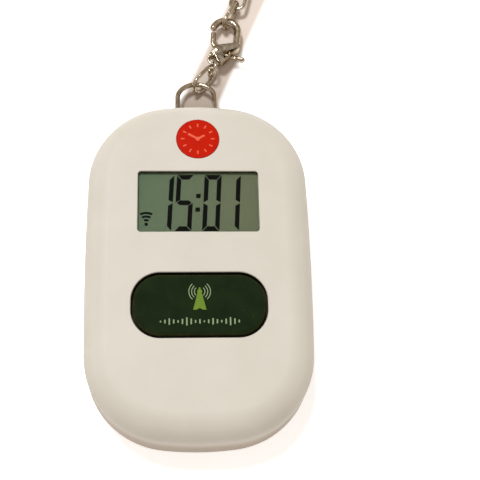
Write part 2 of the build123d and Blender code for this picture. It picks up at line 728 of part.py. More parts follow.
def button_print():
    """Three waves each side of the mast, and a row of sound bars under it."""
    faces = []
    for index in range(WAVE_ARCS):
        radius = WAVE_FIRST + index * WAVE_STEP
        for middle_angle in (0, 180):
            band = arc_band(radius, WAVE_STROKE, middle_angle, WAVE_SPREAD)
            faces.append(Pos(TOWER_X, TOWER_BALL_Y, 0) * band)
    step = BAR_ROW_WIDTH / (BAR_COUNT - 1)
    for index in range(BAR_COUNT):
        share = BAR_HEIGHT_SHARES[index % len(BAR_HEIGHT_SHARES)]
        x = TOWER_X - BAR_ROW_WIDTH / 2 + index * step
        faces.append(Pos(x, BAR_ROW_Y, 0) * Rectangle(BAR_WIDTH, BAR_HEIGHT_MOST * share))
    return on_button(faces)


def button_membrane():
    low = BOARD_TOP
    top = FLANGE_LOW - BUTTON_TRAVEL - FIT_GAP
    sheet = soft_block(MEMBRANE_WIDTH, MEMBRANE_LENGTH, MEMBRANE_CORNER, low, low + MEMBRANE_BASE,
                       y=BUTTON_Y)
    height = top - low
    dome = Pos(0, BUTTON_Y, low + height / 2) * Cone(DOME_RADIUS, DOME_TOP_RADIUS, height)
    inside = height - DOME_WALL
    hollow = Pos(0, BUTTON_Y, low + inside / 2) * Cone(
        DOME_RADIUS - DOME_WALL, DOME_TOP_RADIUS - DOME_WALL, inside
    )
    return sheet + dome - hollow


def contact_pill():
    top = FLANGE_LOW - BUTTON_TRAVEL - FIT_GAP - DOME_WALL
    return rod(PILL_RADIUS, top - PILL_HEIGHT, top, y=BUTTON_Y)


def badge():
    low = FACE_TOP - BADGE_POCKET
    return rod(BADGE_DIAMETER / 2, low, low + BADGE_THICKNESS, y=BADGE_Y)


def badge_print():
    """Twelve ticks and two hands of a plain clock face."""
    faces = []
    for index in range(TICK_COUNT):
        place = Rot(0, 0, 360 * index / TICK_COUNT) * Pos(0, (TICK_RING - TICK_LENGTH) / 2, 0)
        faces.append(place * Rectangle(TICK_WIDTH, TICK_LENGTH))
    hands = Circle(HAND_WIDTH)
    for length, angle in ((HOUR_HAND, HOUR_ANGLE), (MINUTE_HAND, MINUTE_ANGLE)):
        hands += Rot(0, 0, -angle) * Pos(0, length / 2, 0) * Rectangle(HAND_WIDTH, length)
    faces.append(hands)
    place = Pos(0, BADGE_Y, FACE_TOP - BADGE_POCKET + BADGE_THICKNESS)
    return Compound(children=[extrude(place * face, PRINT_THICKNESS) for face in faces])


def circuit_board():
    board = soft_block(BOARD_WIDTH, BOARD_LENGTH, BOARD_CORNER, BOARD_LOW, BOARD_TOP, y=BOARD_Y)
    for x, y in screw_places():
        board -= rod(BOSS_NECK + FIT_GAP, BOARD_LOW - OVERRUN, BOARD_TOP + OVERRUN, x, y)
    return board


def controller_blob():
    blob = rod(BLOB_RADIUS, BOARD_LOW - BLOB_HEIGHT, BOARD_LOW, BLOB_X, BLOB_Y)
    return fillet(blob.edges().group_by(Axis.Z)[0], BLOB_HEIGHT / 2)


def quartz_crystal():
    radius = CRYSTAL_DIAMETER / 2
    place = Pos(CRYSTAL_X, ROW_Y, BOARD_TOP + radius) * Rot(0, 90, 0)
    can = place * Cylinder(radius, CRYSTAL_LENGTH)
    return fillet(can.edges().group_by(Axis.X)[0], radius / 4)


def board_chips():
    high = BOARD_TOP + CHIP_HEIGHT
    return Compound(children=[
        block(CHIP_LENGTH, CHIP_WIDTH, BOARD_TOP, high, CHIP_X - index * CHIP_STEP, ROW_Y)
        for index in range(CHIP_COUNT)
    ])


def setting_switches():
    switches = []
    for x in (-SETTING_X, SETTING_X):
        body = block(SWITCH_SIZE, SWITCH_SIZE, BOARD_LOW - SWITCH_HEIGHT, BOARD_LOW, x, SETTING_Y)
        plunger_low = BOARD_LOW - SWITCH_HEIGHT - PLUNGER_HEIGHT
        switches.append(body + rod(PLUNGER_RADIUS, plunger_low, BOARD_LOW, x, SETTING_Y))
    return Compound(children=switches)


def setting_button(x):
    flange_low = FLOOR + FIT_GAP
    top = BOARD_LOW - SWITCH_HEIGHT - PLUNGER_HEIGHT - SETTING_TRAVEL - FIT_GAP
    cap = rod(SETTING_RADIUS, SETTING_RECESS, flange_low, x, SETTING_Y)
    cap = fillet(cap.edges().group_by(Axis.Z)[0], SETTING_RADIUS / 6)
    cap += rod(SETTING_RADIUS + SETTING_FLANGE, flange_low, flange_low + SETTING_FLANGE, x, SETTING_Y)
    return cap + rod(SETTING_STEM_RADIUS, flange_low, top, x, SETTING_Y)


def speaker_gasket():
    ring = rod(SPEAKER_DIAMETER / 2, FLOOR, FLOOR + GASKET_THICKNESS, y=SPEAKER_Y)
    return ring - rod(SPEAKER_DIAMETER / 2 - SPEAKER_RIM, FLOOR, FLOOR + OVERRUN, y=SPEAKER_Y)


def speaker_frame():
    low = FLOOR + GASKET_THICKNESS
    high = low + SPEAKER_HEIGHT
    inner = SPEAKER_DIAMETER / 2 - SPEAKER_RIM
    frame = rod(SPEAKER_DIAMETER / 2, low, low + SPEAKER_WALL, y=SPEAKER_Y)
    frame += rod(inner + SPEAKER_WALL, low, high, y=SPEAKER_Y)
    frame -= rod(inner, low - OVERRUN, high - SPEAKER_WALL, y=SPEAKER_Y)
    return frame - rod(MAGNET_DIAMETER / 2 + FIT_GAP, low, high + OVERRUN, y=SPEAKER_Y)


def speaker_magnet():
    high = FLOOR + GASKET_THICKNESS + SPEAKER_HEIGHT
    return rod(MAGNET_DIAMETER / 2, high - MAGNET_HEIGHT, high, y=SPEAKER_Y)


def speaker_cone():
    edge = SPEAKER_DIAMETER / 2 - SPEAKER_RIM
    cap = CONE_CAP / 2
    low = FLOOR + GASKET_THICKNESS
    profile = make_face(Polyline(
        (0, 0, low + CONE_DIP), (cap, 0, low + CONE_DIP), (edge, 0, low),
        (edge, 0, low + CONE_THICKNESS), (cap, 0, low + CONE_DIP + CONE_THICKNESS),
        (0, 0, low + CONE_DIP + CONE_THICKNESS), close=True))
    return Pos(0, SPEAKER_Y, 0) * revolve(profile, Axis.Z)


def voice_coil():
    low = FLOOR + GASKET_THICKNESS + CONE_DIP + CONE_THICKNESS
    high = FLOOR + GASKET_THICKNESS + SPEAKER_HEIGHT - MAGNET_HEIGHT - FIT_GAP
    coil = rod(CONE_CAP / 2, low, high, y=SPEAKER_Y)
    return coil - rod(CONE_CAP / 2 - CONE_THICKNESS, low, high, y=SPEAKER_Y)


def speaker_leads():
    low = FLOOR + GASKET_THICKNESS + SPEAKER_HEIGHT
    spread = SPEAKER_DIAMETER / 3
    return Compound(children=[
        rod(CONE_THICKNESS, low, BOARD_LOW, x, SPEAKER_Y) for x in (-spread, spread)
    ])


def ferrite_rod():
    return Pos(0, ROD_Y, ROD_HEIGHT) * Rot(0, 90, 0) * Cylinder(ROD_DIAMETER / 2, ROD_LENGTH)


def aerial_winding():
    outer = Cylinder(WINDING_DIAMETER / 2, WINDING_LENGTH)
    inner = Cylinder(ROD_DIAMETER / 2, WINDING_LENGTH)
    return Pos(0, ROD_Y, ROD_HEIGHT) * Rot(0, 90, 0) * (outer - inner)


def button_cell(x):
    cell = rod(CELL_DIAMETER / 2, CELL_LOW, CELL_TOP, x, BAY_Y)
    rims = cell.edges().group_by(Axis.Z)
    return fillet(rims[0] + rims[-1], CELL_ROUNDING)


def cell_contacts():
    return Compound(children=[
        block(CONTACT_WIDTH, CONTACT_LENGTH, CELL_TOP, BOARD_LOW, x, BAY_Y)
        for x in (-CELL_X, CELL_X)
    ])


def cell_bridge():
    return block(BRIDGE_WIDTH, BRIDGE_LENGTH, COVER_TOP, CELL_LOW, y=BAY_Y)


def swept_wire(edges, diameter):
    path = Wire(edges)
    section = Plane(path.position_at(0), z_dir=path.tangent_at(0)) * Circle(diameter / 2)
    return sweep(section, path)


def oval_edges(length, width):
    """A round-ended loop across X and along +Y, from its near end at the origin."""
    half = width / 2
    straight = length - width
    near = ThreePointArc((half, half), (0, 0), (-half, half))
    far = ThreePointArc((-half, half + straight), (0, length), (half, half + straight))
    left = Line((-half, half), (-half, half + straight))
    right = Line((half, half + straight), (half, half))
    return [near, left, far, right]


def oval_link(length, width, wire):
    return swept_wire(oval_edges(length, width), wire)


def round_link(width, wire):
    return Pos(0, width / 2, 0) * Torus(width / 2, wire / 2)


def turn_of(turns):
    heading, fall, roll = turns[1:]
    return Rot(0, 0, -heading) * Rot(-fall, 0, 0) * Rot(0, -roll, 0)


def hang(parent, centre, radius, turns, seat):
    """Where a loop lies that is hooked into the far bend of its parent."""
    angle = radians(turns[0])
    bend_x, bend_y = centre
    contact = (parent * Pos(bend_x + radius * sin(angle), bend_y + radius * cos(angle), 0)).position
    turn = turn_of(turns)
    anchor = contact - (turn * Pos(0, seat, 0)).position
    return Pos(*anchor) * turn


def ring_place():
    return Pos(0, RING_BAR_Y, RING_BAR_Z) * Rot(-RING_DROOP, 0, 0)


def case_ring():
    half, bend = RING_HALF, RING_BEND
    straight = RING_REACH - half
    corner = bend * (1 - cos(radians(45)))
    edges = [
        Line((0, 0), (half - bend, 0)),
        ThreePointArc((half - bend, 0), (half - corner, corner), (half, bend)),
        Line((half, bend), (half, straight)),
        ThreePointArc((half, straight), (0, RING_REACH), (-half, straight)),
        Line((-half, straight), (-half, bend)),
        ThreePointArc((-half, bend), (corner - half, corner), (bend - half, 0)),
        Line((bend - half, 0), (0, 0)),
    ]
    return ring_place() * swept_wire(edges, RING_WIRE)


def chain_places():
    """The place of each piece of the chain, worked out from the ring upwards."""
    places = {}
    seat = (RING_WIRE + LINK_1_WIRE) / 2 + LINK_1_PLAY
    places["link_1"] = hang(ring_place(), (0, RING_REACH - RING_HALF), RING_HALF, LINK_1_TURNS, seat)
    seat = (LINK_1_WIRE + LINK_2_WIRE) / 2 + LINK_2_PLAY
    bend = (0, LINK_1_LENGTH - LINK_1_WIDTH / 2)
    places["link_2"] = hang(places["link_1"], bend, LINK_1_WIDTH / 2, LINK_2_TURNS, seat)
    seat = (LINK_2_WIRE + EYE_WIRE) / 2 + CLASP_PLAY
    bend = (0, LINK_2_WIDTH / 2)
    places["clasp"] = hang(places["link_2"], bend, LINK_2_WIDTH / 2, CLASP_TURNS, seat)
    seat = (HOOK_WIRE + UPPER_WIRE) / 2 + UPPER_PLAY
    places["upper_link_1"] = hang(places["clasp"], (HOOK_X, HOOK_Y), HOOK_RADIUS, UPPER_1_TURNS, seat)
    bend = (0, UPPER_LENGTH - UPPER_WIDTH / 2)
    seat = UPPER_WIRE + UPPER_PLAY
    places["upper_link_2"] = hang(places["upper_link_1"], bend, UPPER_WIDTH / 2, UPPER_2_TURNS, seat)
    places["upper_link_3"] = hang(places["upper_link_2"], bend, UPPER_WIDTH / 2, UPPER_3_TURNS, seat)
    seat = (UPPER_WIRE + KEY_RING_WIRE + KEY_RING_SEAM) / 2 + KEY_RING_PLAY
    places["key_ring"] = hang(places["upper_link_3"], bend, UPPER_WIDTH / 2, KEY_RING_TURNS, seat)
    return places


def hook_point(angle):
    turn = radians(angle)
    return (HOOK_X + HOOK_RADIUS * cos(turn), HOOK_Y + HOOK_RADIUS * sin(turn))


def fork_plate():
    """The flat outline of the clasp's fork: round the pin, the heel, the arm's foot and the web."""
    pin_end = Pos(PIVOT_X, PIVOT_Y, 0) * Circle(CHEEK_RADIUS)
    heel = Pos(HEEL_X, HEEL_Y, 0) * Circle(HEEL_RADIUS)
    foot = Pos(ARM_X, ARM_Y, 0) * Circle(HOOK_WIRE / 2)
    web = Pos(WEB_X, WEB_Y, 0) * Circle(WEB_RADIUS)
    arm = make_hull(pin_end.edges() + heel.edges() + foot.edges())
    return arm + make_hull(pin_end.edges() + web.edges())


def fork_pocket():
    """The three-cornered opening in the upper cheek."""
    far = (POCKET_FAR_X, POCKET_FAR_Y)
    left = (POCKET_LEFT_X, POCKET_LEFT_Y)
    low = (POCKET_LOW_X, POCKET_LOW_Y)
    return extrude(make_face(Polyline(far, left, low, close=True)), FORK_WIDTH / 2 + 2 * CHEEK_THICKNESS)


def clasp_body():
    half = FORK_WIDTH / 2 + CHEEK_THICKNESS
    tip = hook_point(HOOK_END_ANGLE)
    bow = ThreePointArc(hook_point(0), hook_point(HOOK_END_ANGLE / 2), tip)
    hook = swept_wire([Line((ARM_X, ARM_Y), hook_point(0)), bow], HOOK_WIRE)
    hook += Pos(*tip) * Sphere(HOOK_WIRE / 2)
    eye = Pos(0, EYE_DIAMETER / 2, 0) * Torus(EYE_DIAMETER / 2, EYE_WIRE / 2)
    base = extrude(fork_plate(), half, both=True) + eye - lever_room() - fork_pocket()
    bore = Pos(PIVOT_X, PIVOT_Y, 0) * Cylinder(PIN_RADIUS, 2 * half + OVERRUN)
    return base + hook - bore


def lever_room():
    """The slot between the cheeks, swept by the lever over its whole swing."""
    room = Cylinder(KNUCKLE_RADIUS + FIT_GAP, FORK_WIDTH)
    for angle in (0, -LEVER_SWING / 2, -LEVER_SWING):
        room += Rot(0, 0, angle) * lever_bars(GATE_GAP, FORK_WIDTH)
    return Pos(PIVOT_X, PIVOT_Y, 0) * room


def bar_between(start, end, width, thickness):
    """A round-ended flat bar from one point to another in the clasp's plane."""
    reach_x, reach_y = end[0] - start[0], end[1] - start[1]
    middle = Pos((start[0] + end[0]) / 2, (start[1] + end[1]) / 2, 0)
    bar = extrude(SlotCenterToCenter(hypot(reach_x, reach_y), width), thickness / 2, both=True)
    return middle * Rot(0, 0, degrees(atan2(reach_y, reach_x))) * bar


def lever_bars(gap, thickness):
    """The gate and the thumb tab about the pivot, swollen by gap."""
    end_x, end_y = hook_point(HOOK_END_ANGLE)
    reach_x, reach_y = end_x - GATE_BEND_X, end_y - GATE_BEND_Y
    share = 1 - ((HOOK_WIRE + GATE_WIDTH) / 2 + GATE_GAP) / hypot(reach_x, reach_y)
    gate_bend = (GATE_BEND_X - PIVOT_X, GATE_BEND_Y - PIVOT_Y)
    gate_tip = (gate_bend[0] + reach_x * share, gate_bend[1] + reach_y * share)
    tab_bend = (TAB_BEND_X - PIVOT_X, TAB_BEND_Y - PIVOT_Y)
    tab_tip = (TAB_TIP_X - PIVOT_X, TAB_TIP_Y - PIVOT_Y)
    bars = bar_between((0, 0), gate_bend, GATE_WIDTH + 2 * gap, thickness)
    bars += bar_between(gate_bend, gate_tip, GATE_WIDTH + 2 * gap, thickness)
    bars += bar_between((0, 0), tab_bend, TAB_WIDTH + 2 * gap, thickness)
    return bars + bar_between(tab_bend, tab_tip, TAB_WIDTH + 2 * gap, thickness)


def clasp_lever():
    lever = Cylinder(KNUCKLE_RADIUS, LEVER_THICKNESS) + lever_bars(0, LEVER_THICKNESS)
    tip = (TAB_TIP_X - PIVOT_X, TAB_TIP_Y - PIVOT_Y)
    fall = hypot(TAB_TIP_X - TAB_BEND_X, TAB_TIP_Y - TAB_BEND_Y)
    back = TAB_PAD_LENGTH / fall
    start_x = tip[0] + (TAB_BEND_X - TAB_TIP_X) * back
    start_y = tip[1] + (TAB_BEND_Y - TAB_TIP_Y) * back
    lever += bar_between((start_x, start_y), tip, TAB_WIDTH, TAB_PAD_THICKNESS)
    lever -= Cylinder(PIN_RADIUS + PIN_GAP, FORK_WIDTH)
    return Pos(PIVOT_X, PIVOT_Y, LEVER_OFFSET) * lever


def lever_pin():
    return Pos(PIVOT_X, PIVOT_Y, 0) * Cylinder(PIN_RADIUS, FORK_WIDTH + 2 * CHEEK_THICKNESS)


def lever_spring():
    lever_top = LEVER_OFFSET + LEVER_THICKNESS / 2
    height = (lever_top + FORK_WIDTH / 2) / 2
    leg = Rot(90, 0, 0) * Cylinder(SPRING_WIRE / 2, 2 * SPRING_RADIUS)
    coil = Torus(SPRING_RADIUS, SPRING_WIRE / 2) + Pos(SPRING_RADIUS, SPRING_RADIUS, 0) * leg
    return Pos(PIVOT_X, PIVOT_Y, height) * coil


def key_ring():
    ring = Torus(KEY_RING_DIAMETER / 2, KEY_RING_WIRE / 2)
    pair = Pos(0, 0, -KEY_RING_SEAM / 2) * ring + Pos(0, 0, KEY_RING_SEAM / 2) * ring
    return Pos(0, KEY_RING_DIAMETER / 2, 0) * pair


def case_screws():
    return Compound(children=[screw(x, y, SCREW_LENGTH, HEAD_HEIGHT) for x, y in screw_places()])


def contact_strip():
    low_edge = WINDOW_Y - GLASS_LENGTH / 2 + FRAME_WALL + FIT_GAP
    return block(ZEBRA_WIDTH, ZEBRA_LENGTH, BOARD_TOP, LCD_LOW, y=low_edge + ZEBRA_LENGTH / 2)


def glass_slab(low, high):
    return soft_block(GLASS_WIDTH, GLASS_LENGTH, GLASS_CORNER, low, high, y=WINDOW_Y)


def case_pieces():
    return {
        "front_shell": front_shell(),
        "rear_shell": rear_shell(),
        "battery_cover": battery_cover(),
        "battery_cover_screw": screw(0, COVER_SCREW_Y, SCREW_LENGTH / 2, HEAD_HEIGHT / 2),
        "case_screws": case_screws(),
        "display_window": glass_slab(LENS_LOW, LENS_TOP),
        "display_frame": display_frame(),
        "lcd_panel": glass_slab(LCD_LOW, LCD_TOP),
        "lcd_segments": lcd_segments(),
        "contact_strip": contact_strip(),
        "badge": badge(),
        "badge_print": badge_print(),
    }


def inner_pieces():
    return {
        "circuit_board": circuit_board(),
        "controller_blob": controller_blob(),
        "quartz_crystal": quartz_crystal(),
        "board_chips": board_chips(),
        "setting_switches": setting_switches(),
        "button_membrane": button_membrane(),
        "contact_pill": contact_pill(),
        "speaker_gasket": speaker_gasket(),
        "speaker_frame": speaker_frame(),
        "speaker_magnet": speaker_magnet(),
        "speaker_cone": speaker_cone(),
        "voice_coil": voice_coil(),
        "speaker_leads": speaker_leads(),
        "ferrite_rod": ferrite_rod(),
        "aerial_winding": aerial_winding(),
        "button_cell_left": button_cell(-CELL_X),
        "button_cell_right": button_cell(CELL_X),
        "cell_contacts": cell_contacts(),
        "cell_bridge": cell_bridge(),
    }


def button_pieces():
    return {
        "talk_button": talk_button(),
        "tower_print": tower_print(),
        "button_print": button_print(),
        "mode_button": setting_button(-SETTING_X),
        "set_button": setting_button(SETTING_X),
    }


def chain_pieces():
    places = chain_places()
    upper = oval_link(UPPER_LENGTH, UPPER_WIDTH, UPPER_WIRE)
    return {
        "case_ring": case_ring(),
        "link_1": places["link_1"] * oval_link(LINK_1_LENGTH, LINK_1_WIDTH, LINK_1_WIRE),
        "link_2": places["link_2"] * round_link(LINK_2_WIDTH, LINK_2_WIRE),
        "clasp_body": places["clasp"] * clasp_body(),
        "clasp_lever": places["clasp"] * clasp_lever(),
        "lever_pin": places["clasp"] * lever_pin(),
        "lever_spring": places["clasp"] * lever_spring(),
        "upper_link_1": places["upper_link_1"] * upper,
        "upper_link_2": places["upper_link_2"] * upper,
        "upper_link_3": places["upper_link_3"] * upper,
        "key_ring": places["key_ring"] * key_ring(),
    }


def all_pieces():
    return {**case_pieces(), **inner_pieces(), **button_pieces(), **chain_pieces()}


os.makedirs("parts", exist_ok=True)
for name, piece in all_pieces().items():
    export_step(piece, f"parts/{name}.step")
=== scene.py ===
import bpy
import math
import numpy as np
from mathutils import Matrix, Quaternion, Vector


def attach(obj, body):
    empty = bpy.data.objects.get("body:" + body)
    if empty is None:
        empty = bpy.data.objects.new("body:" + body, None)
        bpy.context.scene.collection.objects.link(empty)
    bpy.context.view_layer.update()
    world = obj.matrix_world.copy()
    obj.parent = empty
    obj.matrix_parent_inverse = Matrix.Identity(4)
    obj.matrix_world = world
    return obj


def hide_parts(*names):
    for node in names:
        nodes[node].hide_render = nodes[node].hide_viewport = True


# The dressed talking clock on its key chain.
# Lengths are in millimetres, times MM where Blender takes metres.
MM = 0.001

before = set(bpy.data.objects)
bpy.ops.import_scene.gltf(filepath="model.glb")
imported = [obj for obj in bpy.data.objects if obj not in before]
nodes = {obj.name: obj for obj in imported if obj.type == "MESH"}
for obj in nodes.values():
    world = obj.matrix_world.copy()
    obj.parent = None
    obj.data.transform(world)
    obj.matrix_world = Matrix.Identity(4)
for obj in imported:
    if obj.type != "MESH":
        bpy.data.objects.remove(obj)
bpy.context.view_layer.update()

# The face's openings and the button, as in the part's source
FACE_TOP = 13.0
WINDOW_Y, WINDOW_WIDTH, WINDOW_LENGTH = 11.5, 22.5, 12.2
BUTTON_Y, BUTTON_WIDTH, BUTTON_LENGTH, BUTTON_CORNER = -8.7, 23.8, 11.5, 4.9
OPENING_WIDTH, OPENING_LENGTH, OPENING_CORNER = 24.6, 12.3, 5.3

# Painted shade: the case's colour darkens between these two heights toward its back
SHADE_LOW, SHADE_HIGH = 5.0, 12.2

# Painted shade on its openings' walls: how far past the outline, and at which depths under the face
WALL_NEAR, WALL_FAR = 0.02, 0.1
WALL_START, WALL_FULL, WALL_END = 0.08, 0.16, 2.2

# The stretch of a noise's values that holds most of them, and how far small pieces' roughness drifts
NOISE_LOW, NOISE_HIGH = 0.3, 0.7
GLOSS_SPREAD = 0.06


# Colours and node materials

def srgb(red, green, blue):
    """A colour given as it shows on a screen, 0 to 255, as scene-linear red, green, blue, alpha."""
    def linear(value):
        share = value / 255
        return share / 12.92 if share <= 0.04045 else ((share + 0.055) / 1.055) ** 2.4
    return (linear(red), linear(green), linear(blue), 1.0)


class Paint:
    """Builds one node material around a Principled shader."""

    def __init__(self, name, roughness=0.5, metallic=0.0, specular=0.5):
        self.material = bpy.data.materials.new(name)
        self.material.use_nodes = True
        self.tree = self.material.node_tree
        self.shader = self.tree.nodes["Principled BSDF"]
        self.shader.inputs["Roughness"].default_value = roughness
        self.shader.inputs["Metallic"].default_value = metallic
        self.shader.inputs["Specular IOR Level"].default_value = specular
        self.where = self.add("ShaderNodeTexCoord").outputs["Object"]

    def add(self, kind, **values):
        node = self.tree.nodes.new(kind)
        for key, value in values.items():
            setattr(node, key, value)
        return node

    def join(self, output, target):
        self.tree.links.new(output, target)

    def stretched(self, scale):
        mapping = self.add("ShaderNodeMapping")
        mapping.inputs["Scale"].default_value = scale
        self.join(self.where, mapping.inputs["Vector"])
        return mapping.outputs["Vector"]

    def noise(self, size_mm, detail=3.0, rough=0.55, vector=None, warp=0.0):
        node = self.add("ShaderNodeTexNoise")
        node.inputs["Scale"].default_value = 1 / (size_mm * MM)
        node.inputs["Detail"].default_value = detail
        node.inputs["Roughness"].default_value = rough
        node.inputs["Distortion"].default_value = warp
        self.join(vector or self.where, node.inputs["Vector"])
        return node.outputs["Fac"]

    def cells(self, size_mm):
        node = self.add("ShaderNodeTexVoronoi", feature="F1")
        node.inputs["Scale"].default_value = 1 / (size_mm * MM)
        self.join(self.where, node.inputs["Vector"])
        return node.outputs["Distance"]

    def ramp(self, factor, *stops):
        node = self.add("ShaderNodeValToRGB")
        ramp = node.color_ramp
        for index, (place, colour) in enumerate(stops):
            stop = ramp.elements[index] if index < 2 else ramp.elements.new(place)
            stop.position = place
            stop.color = colour
        self.join(factor, node.inputs["Fac"])
        return node.outputs["Color"]

    def band(self, factor, low, high, to_low=0.0, to_high=1.0):
        node = self.add("ShaderNodeMapRange")
        for name, value in (("From Min", low), ("From Max", high), ("To Min", to_low), ("To Max", to_high)):
            node.inputs[name].default_value = value
        self.join(factor, node.inputs["Value"])
        return node.outputs["Result"]

    def mix(self, factor, first, second, blend="MIX"):
        node = self.add("ShaderNodeMix", data_type="RGBA", blend_type=blend)
        sockets = [s for s in node.inputs if s.type == "RGBA"]
        if isinstance(factor, float):
            node.inputs[0].default_value = factor
        else:
            self.join(factor, node.inputs[0])
        for value, socket in ((first, sockets[0]), (second, sockets[1])):
            if isinstance(value, tuple):
                socket.default_value = value
            else:
                self.join(value, socket)
        return [s for s in node.outputs if s.type == "RGBA"][0]

    def math(self, operation, first, second=None):
        node = self.add("ShaderNodeMath", operation=operation)
        for value, socket in ((first, node.inputs[0]), (second, node.inputs[1])):
            if value is None:
                continue
            if isinstance(value, (int, float)):
                socket.default_value = value
            else:
                self.join(value, socket)
        return node.outputs[0]

    def colour(self, output):
        self.join(output, self.shader.inputs["Base Color"])

    def roughness(self, output):
        self.join(output, self.shader.inputs["Roughness"])

    def clouded(self, noise, dark, light):
        """A colour that drifts with a noise."""
        return self.ramp(noise, (NOISE_LOW, dark), (NOISE_HIGH, light))

    def uneven_gloss(self, noise, least, most):
        self.roughness(self.band(noise, NOISE_LOW, NOISE_HIGH, least, most))

    def bump(self, height, depth_mm, strength=1.0, under=None):
        node = self.add("ShaderNodeBump")
        node.inputs["Distance"].default_value = depth_mm * MM
        node.inputs["Strength"].default_value = strength
        self.join(height, node.inputs["Height"])
        if under is not None:
            self.join(under, node.inputs["Normal"])
        return node.outputs["Normal"]

    def normal(self, output):
        self.join(output, self.shader.inputs["Normal"])

    def beyond(self, middle_y, width, length, corner):
        """How far a point lies beyond a round-cornered outline seen from above, below zero inside it."""
        reach = []
        for index, middle, size in ((0, 0.0, width), (1, middle_y, length)):
            off = self.math("ABSOLUTE", self.math("SUBTRACT", self.axis(index), middle * MM))
            reach.append(self.math("SUBTRACT", off, (size / 2 - corner) * MM))
        squares = []
        for value in reach:
            over = self.math("MAXIMUM", value, 0.0)
            squares.append(self.math("MULTIPLY", over, over))
        outer = self.math("SQRT", self.math("ADD", *squares))
        inner = self.math("MINIMUM", self.math("MAXIMUM", *reach), 0.0)
        return self.math("SUBTRACT", self.math("ADD", outer, inner), corner * MM)

    def axis(self, index):
        split = self.add("ShaderNodeSeparateXYZ")
        self.join(self.where, split.inputs[0])
        return split.outputs[index]


def speckled(name, light, dark, size_mm, grain_mm, depth_mm, roughness, metallic=0.0):
    """A material with soft colour clouds, a fine grain in its surface and uneven gloss."""
    paint = Paint(name, roughness, metallic)
    clouds = paint.noise(size_mm, 4.0)
    paint.colour(paint.ramp(clouds, (0.35, dark), (0.65, light)))
    grain = paint.noise(grain_mm, 2.0)
    paint.uneven_gloss(grain, roughness - GLOSS_SPREAD, roughness + GLOSS_SPREAD)
    paint.normal(paint.bump(grain, depth_mm))
    return paint.material


def painted_opening_shade(paint):
    """Painted shade: one on the walls of the face's two openings, nothing elsewhere."""
    window = paint.beyond(WINDOW_Y, WINDOW_WIDTH, WINDOW_LENGTH, 0.0)
    button = paint.beyond(BUTTON_Y, OPENING_WIDTH, OPENING_LENGTH, OPENING_CORNER)
    inside = paint.math("MAXIMUM", paint.band(window, WALL_NEAR * MM, WALL_FAR * MM, 1.0, 0.0),
                        paint.band(button, WALL_NEAR * MM, WALL_FAR * MM, 1.0, 0.0))
    sunk = paint.band(paint.axis(2), (FACE_TOP - WALL_FULL) * MM, (FACE_TOP - WALL_START) * MM, 1.0, 0.0)
    deep = paint.math("GREATER_THAN", paint.axis(2), (FACE_TOP - WALL_END) * MM)
    return paint.math("MULTIPLY", inside, paint.math("MULTIPLY", sunk, deep))


def case_plastic():
    """Warm off-white moulded plastic with a fine grain, with painted shade toward its back and on its
    openings' walls.
    """
    paint = Paint("case_plastic", 0.48, 0.0, 0.25)
    clouds = paint.noise(9.0, 3.0)
    tone = paint.clouded(clouds, srgb(210, 205, 193), srgb(215, 210, 199))
    flecks = paint.noise(0.35, 2.0)
    tone = paint.mix(paint.band(flecks, 0.62, 0.8, 0.0, 0.25), tone, srgb(200, 191, 177))
    # Painted shade: the colour darkens toward the back, standing for the shade on the case's lower sides
    painted_back_shade = paint.band(paint.axis(2), SHADE_LOW * MM, SHADE_HIGH * MM, 1.0, 0.0)
    tone = paint.mix(painted_back_shade, tone, (0.60, 0.52, 0.46, 1.0), "MULTIPLY")
    # Painted shade: the openings' walls take a near-black colour for the shade inside them
    paint.colour(paint.mix(painted_opening_shade(paint), tone, srgb(26, 27, 20)))
    grain = paint.noise(0.22, 3.0, 0.6)
    paint.uneven_gloss(grain, 0.42, 0.56)
    waves = paint.bump(paint.noise(6.0, 2.0), 0.02, 0.35)
    paint.normal(paint.bump(grain, 0.006, 0.8, waves))
    return paint.material


def button_rubber():
    """Dark green soft rubber with a dull skin, a patchy paler rim that is painted highlight on its rounded
    edge, and a few specks of dust.
    """
    paint = Paint("button_green", 0.62, 0.0, 0.04)
    clouds = paint.noise(3.2, 4.0)
    tone = paint.clouded(clouds, srgb(19, 32, 12), srgb(26, 40, 16))
    edge = paint.beyond(BUTTON_Y, BUTTON_WIDTH, BUTTON_LENGTH, BUTTON_CORNER)
    # Painted highlight: a patchy paler rim round the button's edge, for the light its rounded edge catches
    rim_patches = paint.band(paint.noise(1.3, 3.0), 0.35, 0.7, 0.35, 1.0)
    rim_start, rim_full = -0.5 * MM, -0.12 * MM
    rim = paint.math("MULTIPLY", paint.band(edge, rim_start, rim_full, 0.0, 0.75), rim_patches)
    tone = paint.mix(rim, tone, srgb(66, 62, 36))
    dust = paint.cells(1.6)
    tone = paint.mix(paint.band(dust, 0.035, 0.07, 0.3, 0.0), tone, srgb(104, 108, 80))
    paint.colour(tone)
    grain = paint.noise(0.12, 3.0, 0.65)
    paint.uneven_gloss(grain, 0.5, 0.72)
    paint.normal(paint.bump(grain, 0.008, 0.8))
    paint.shader.inputs["Sheen Weight"].default_value = 0.03
    paint.shader.inputs["Sheen Roughness"].default_value = 0.5
    return paint.material


def badge_red():
    """Orange-red glossy disc with a slightly uneven lacquer."""
    paint = Paint("badge_red", 0.32, 0.0, 0.02)
    clouds = paint.noise(2.4, 3.0)
    paint.colour(paint.clouded(clouds, srgb(189, 24, 1), srgb(197, 30, 3)))
    skin = paint.noise(0.5, 2.0)
    paint.uneven_gloss(skin, 0.24, 0.4)
    paint.normal(paint.bump(skin, 0.004, 0.6))
    return paint.material


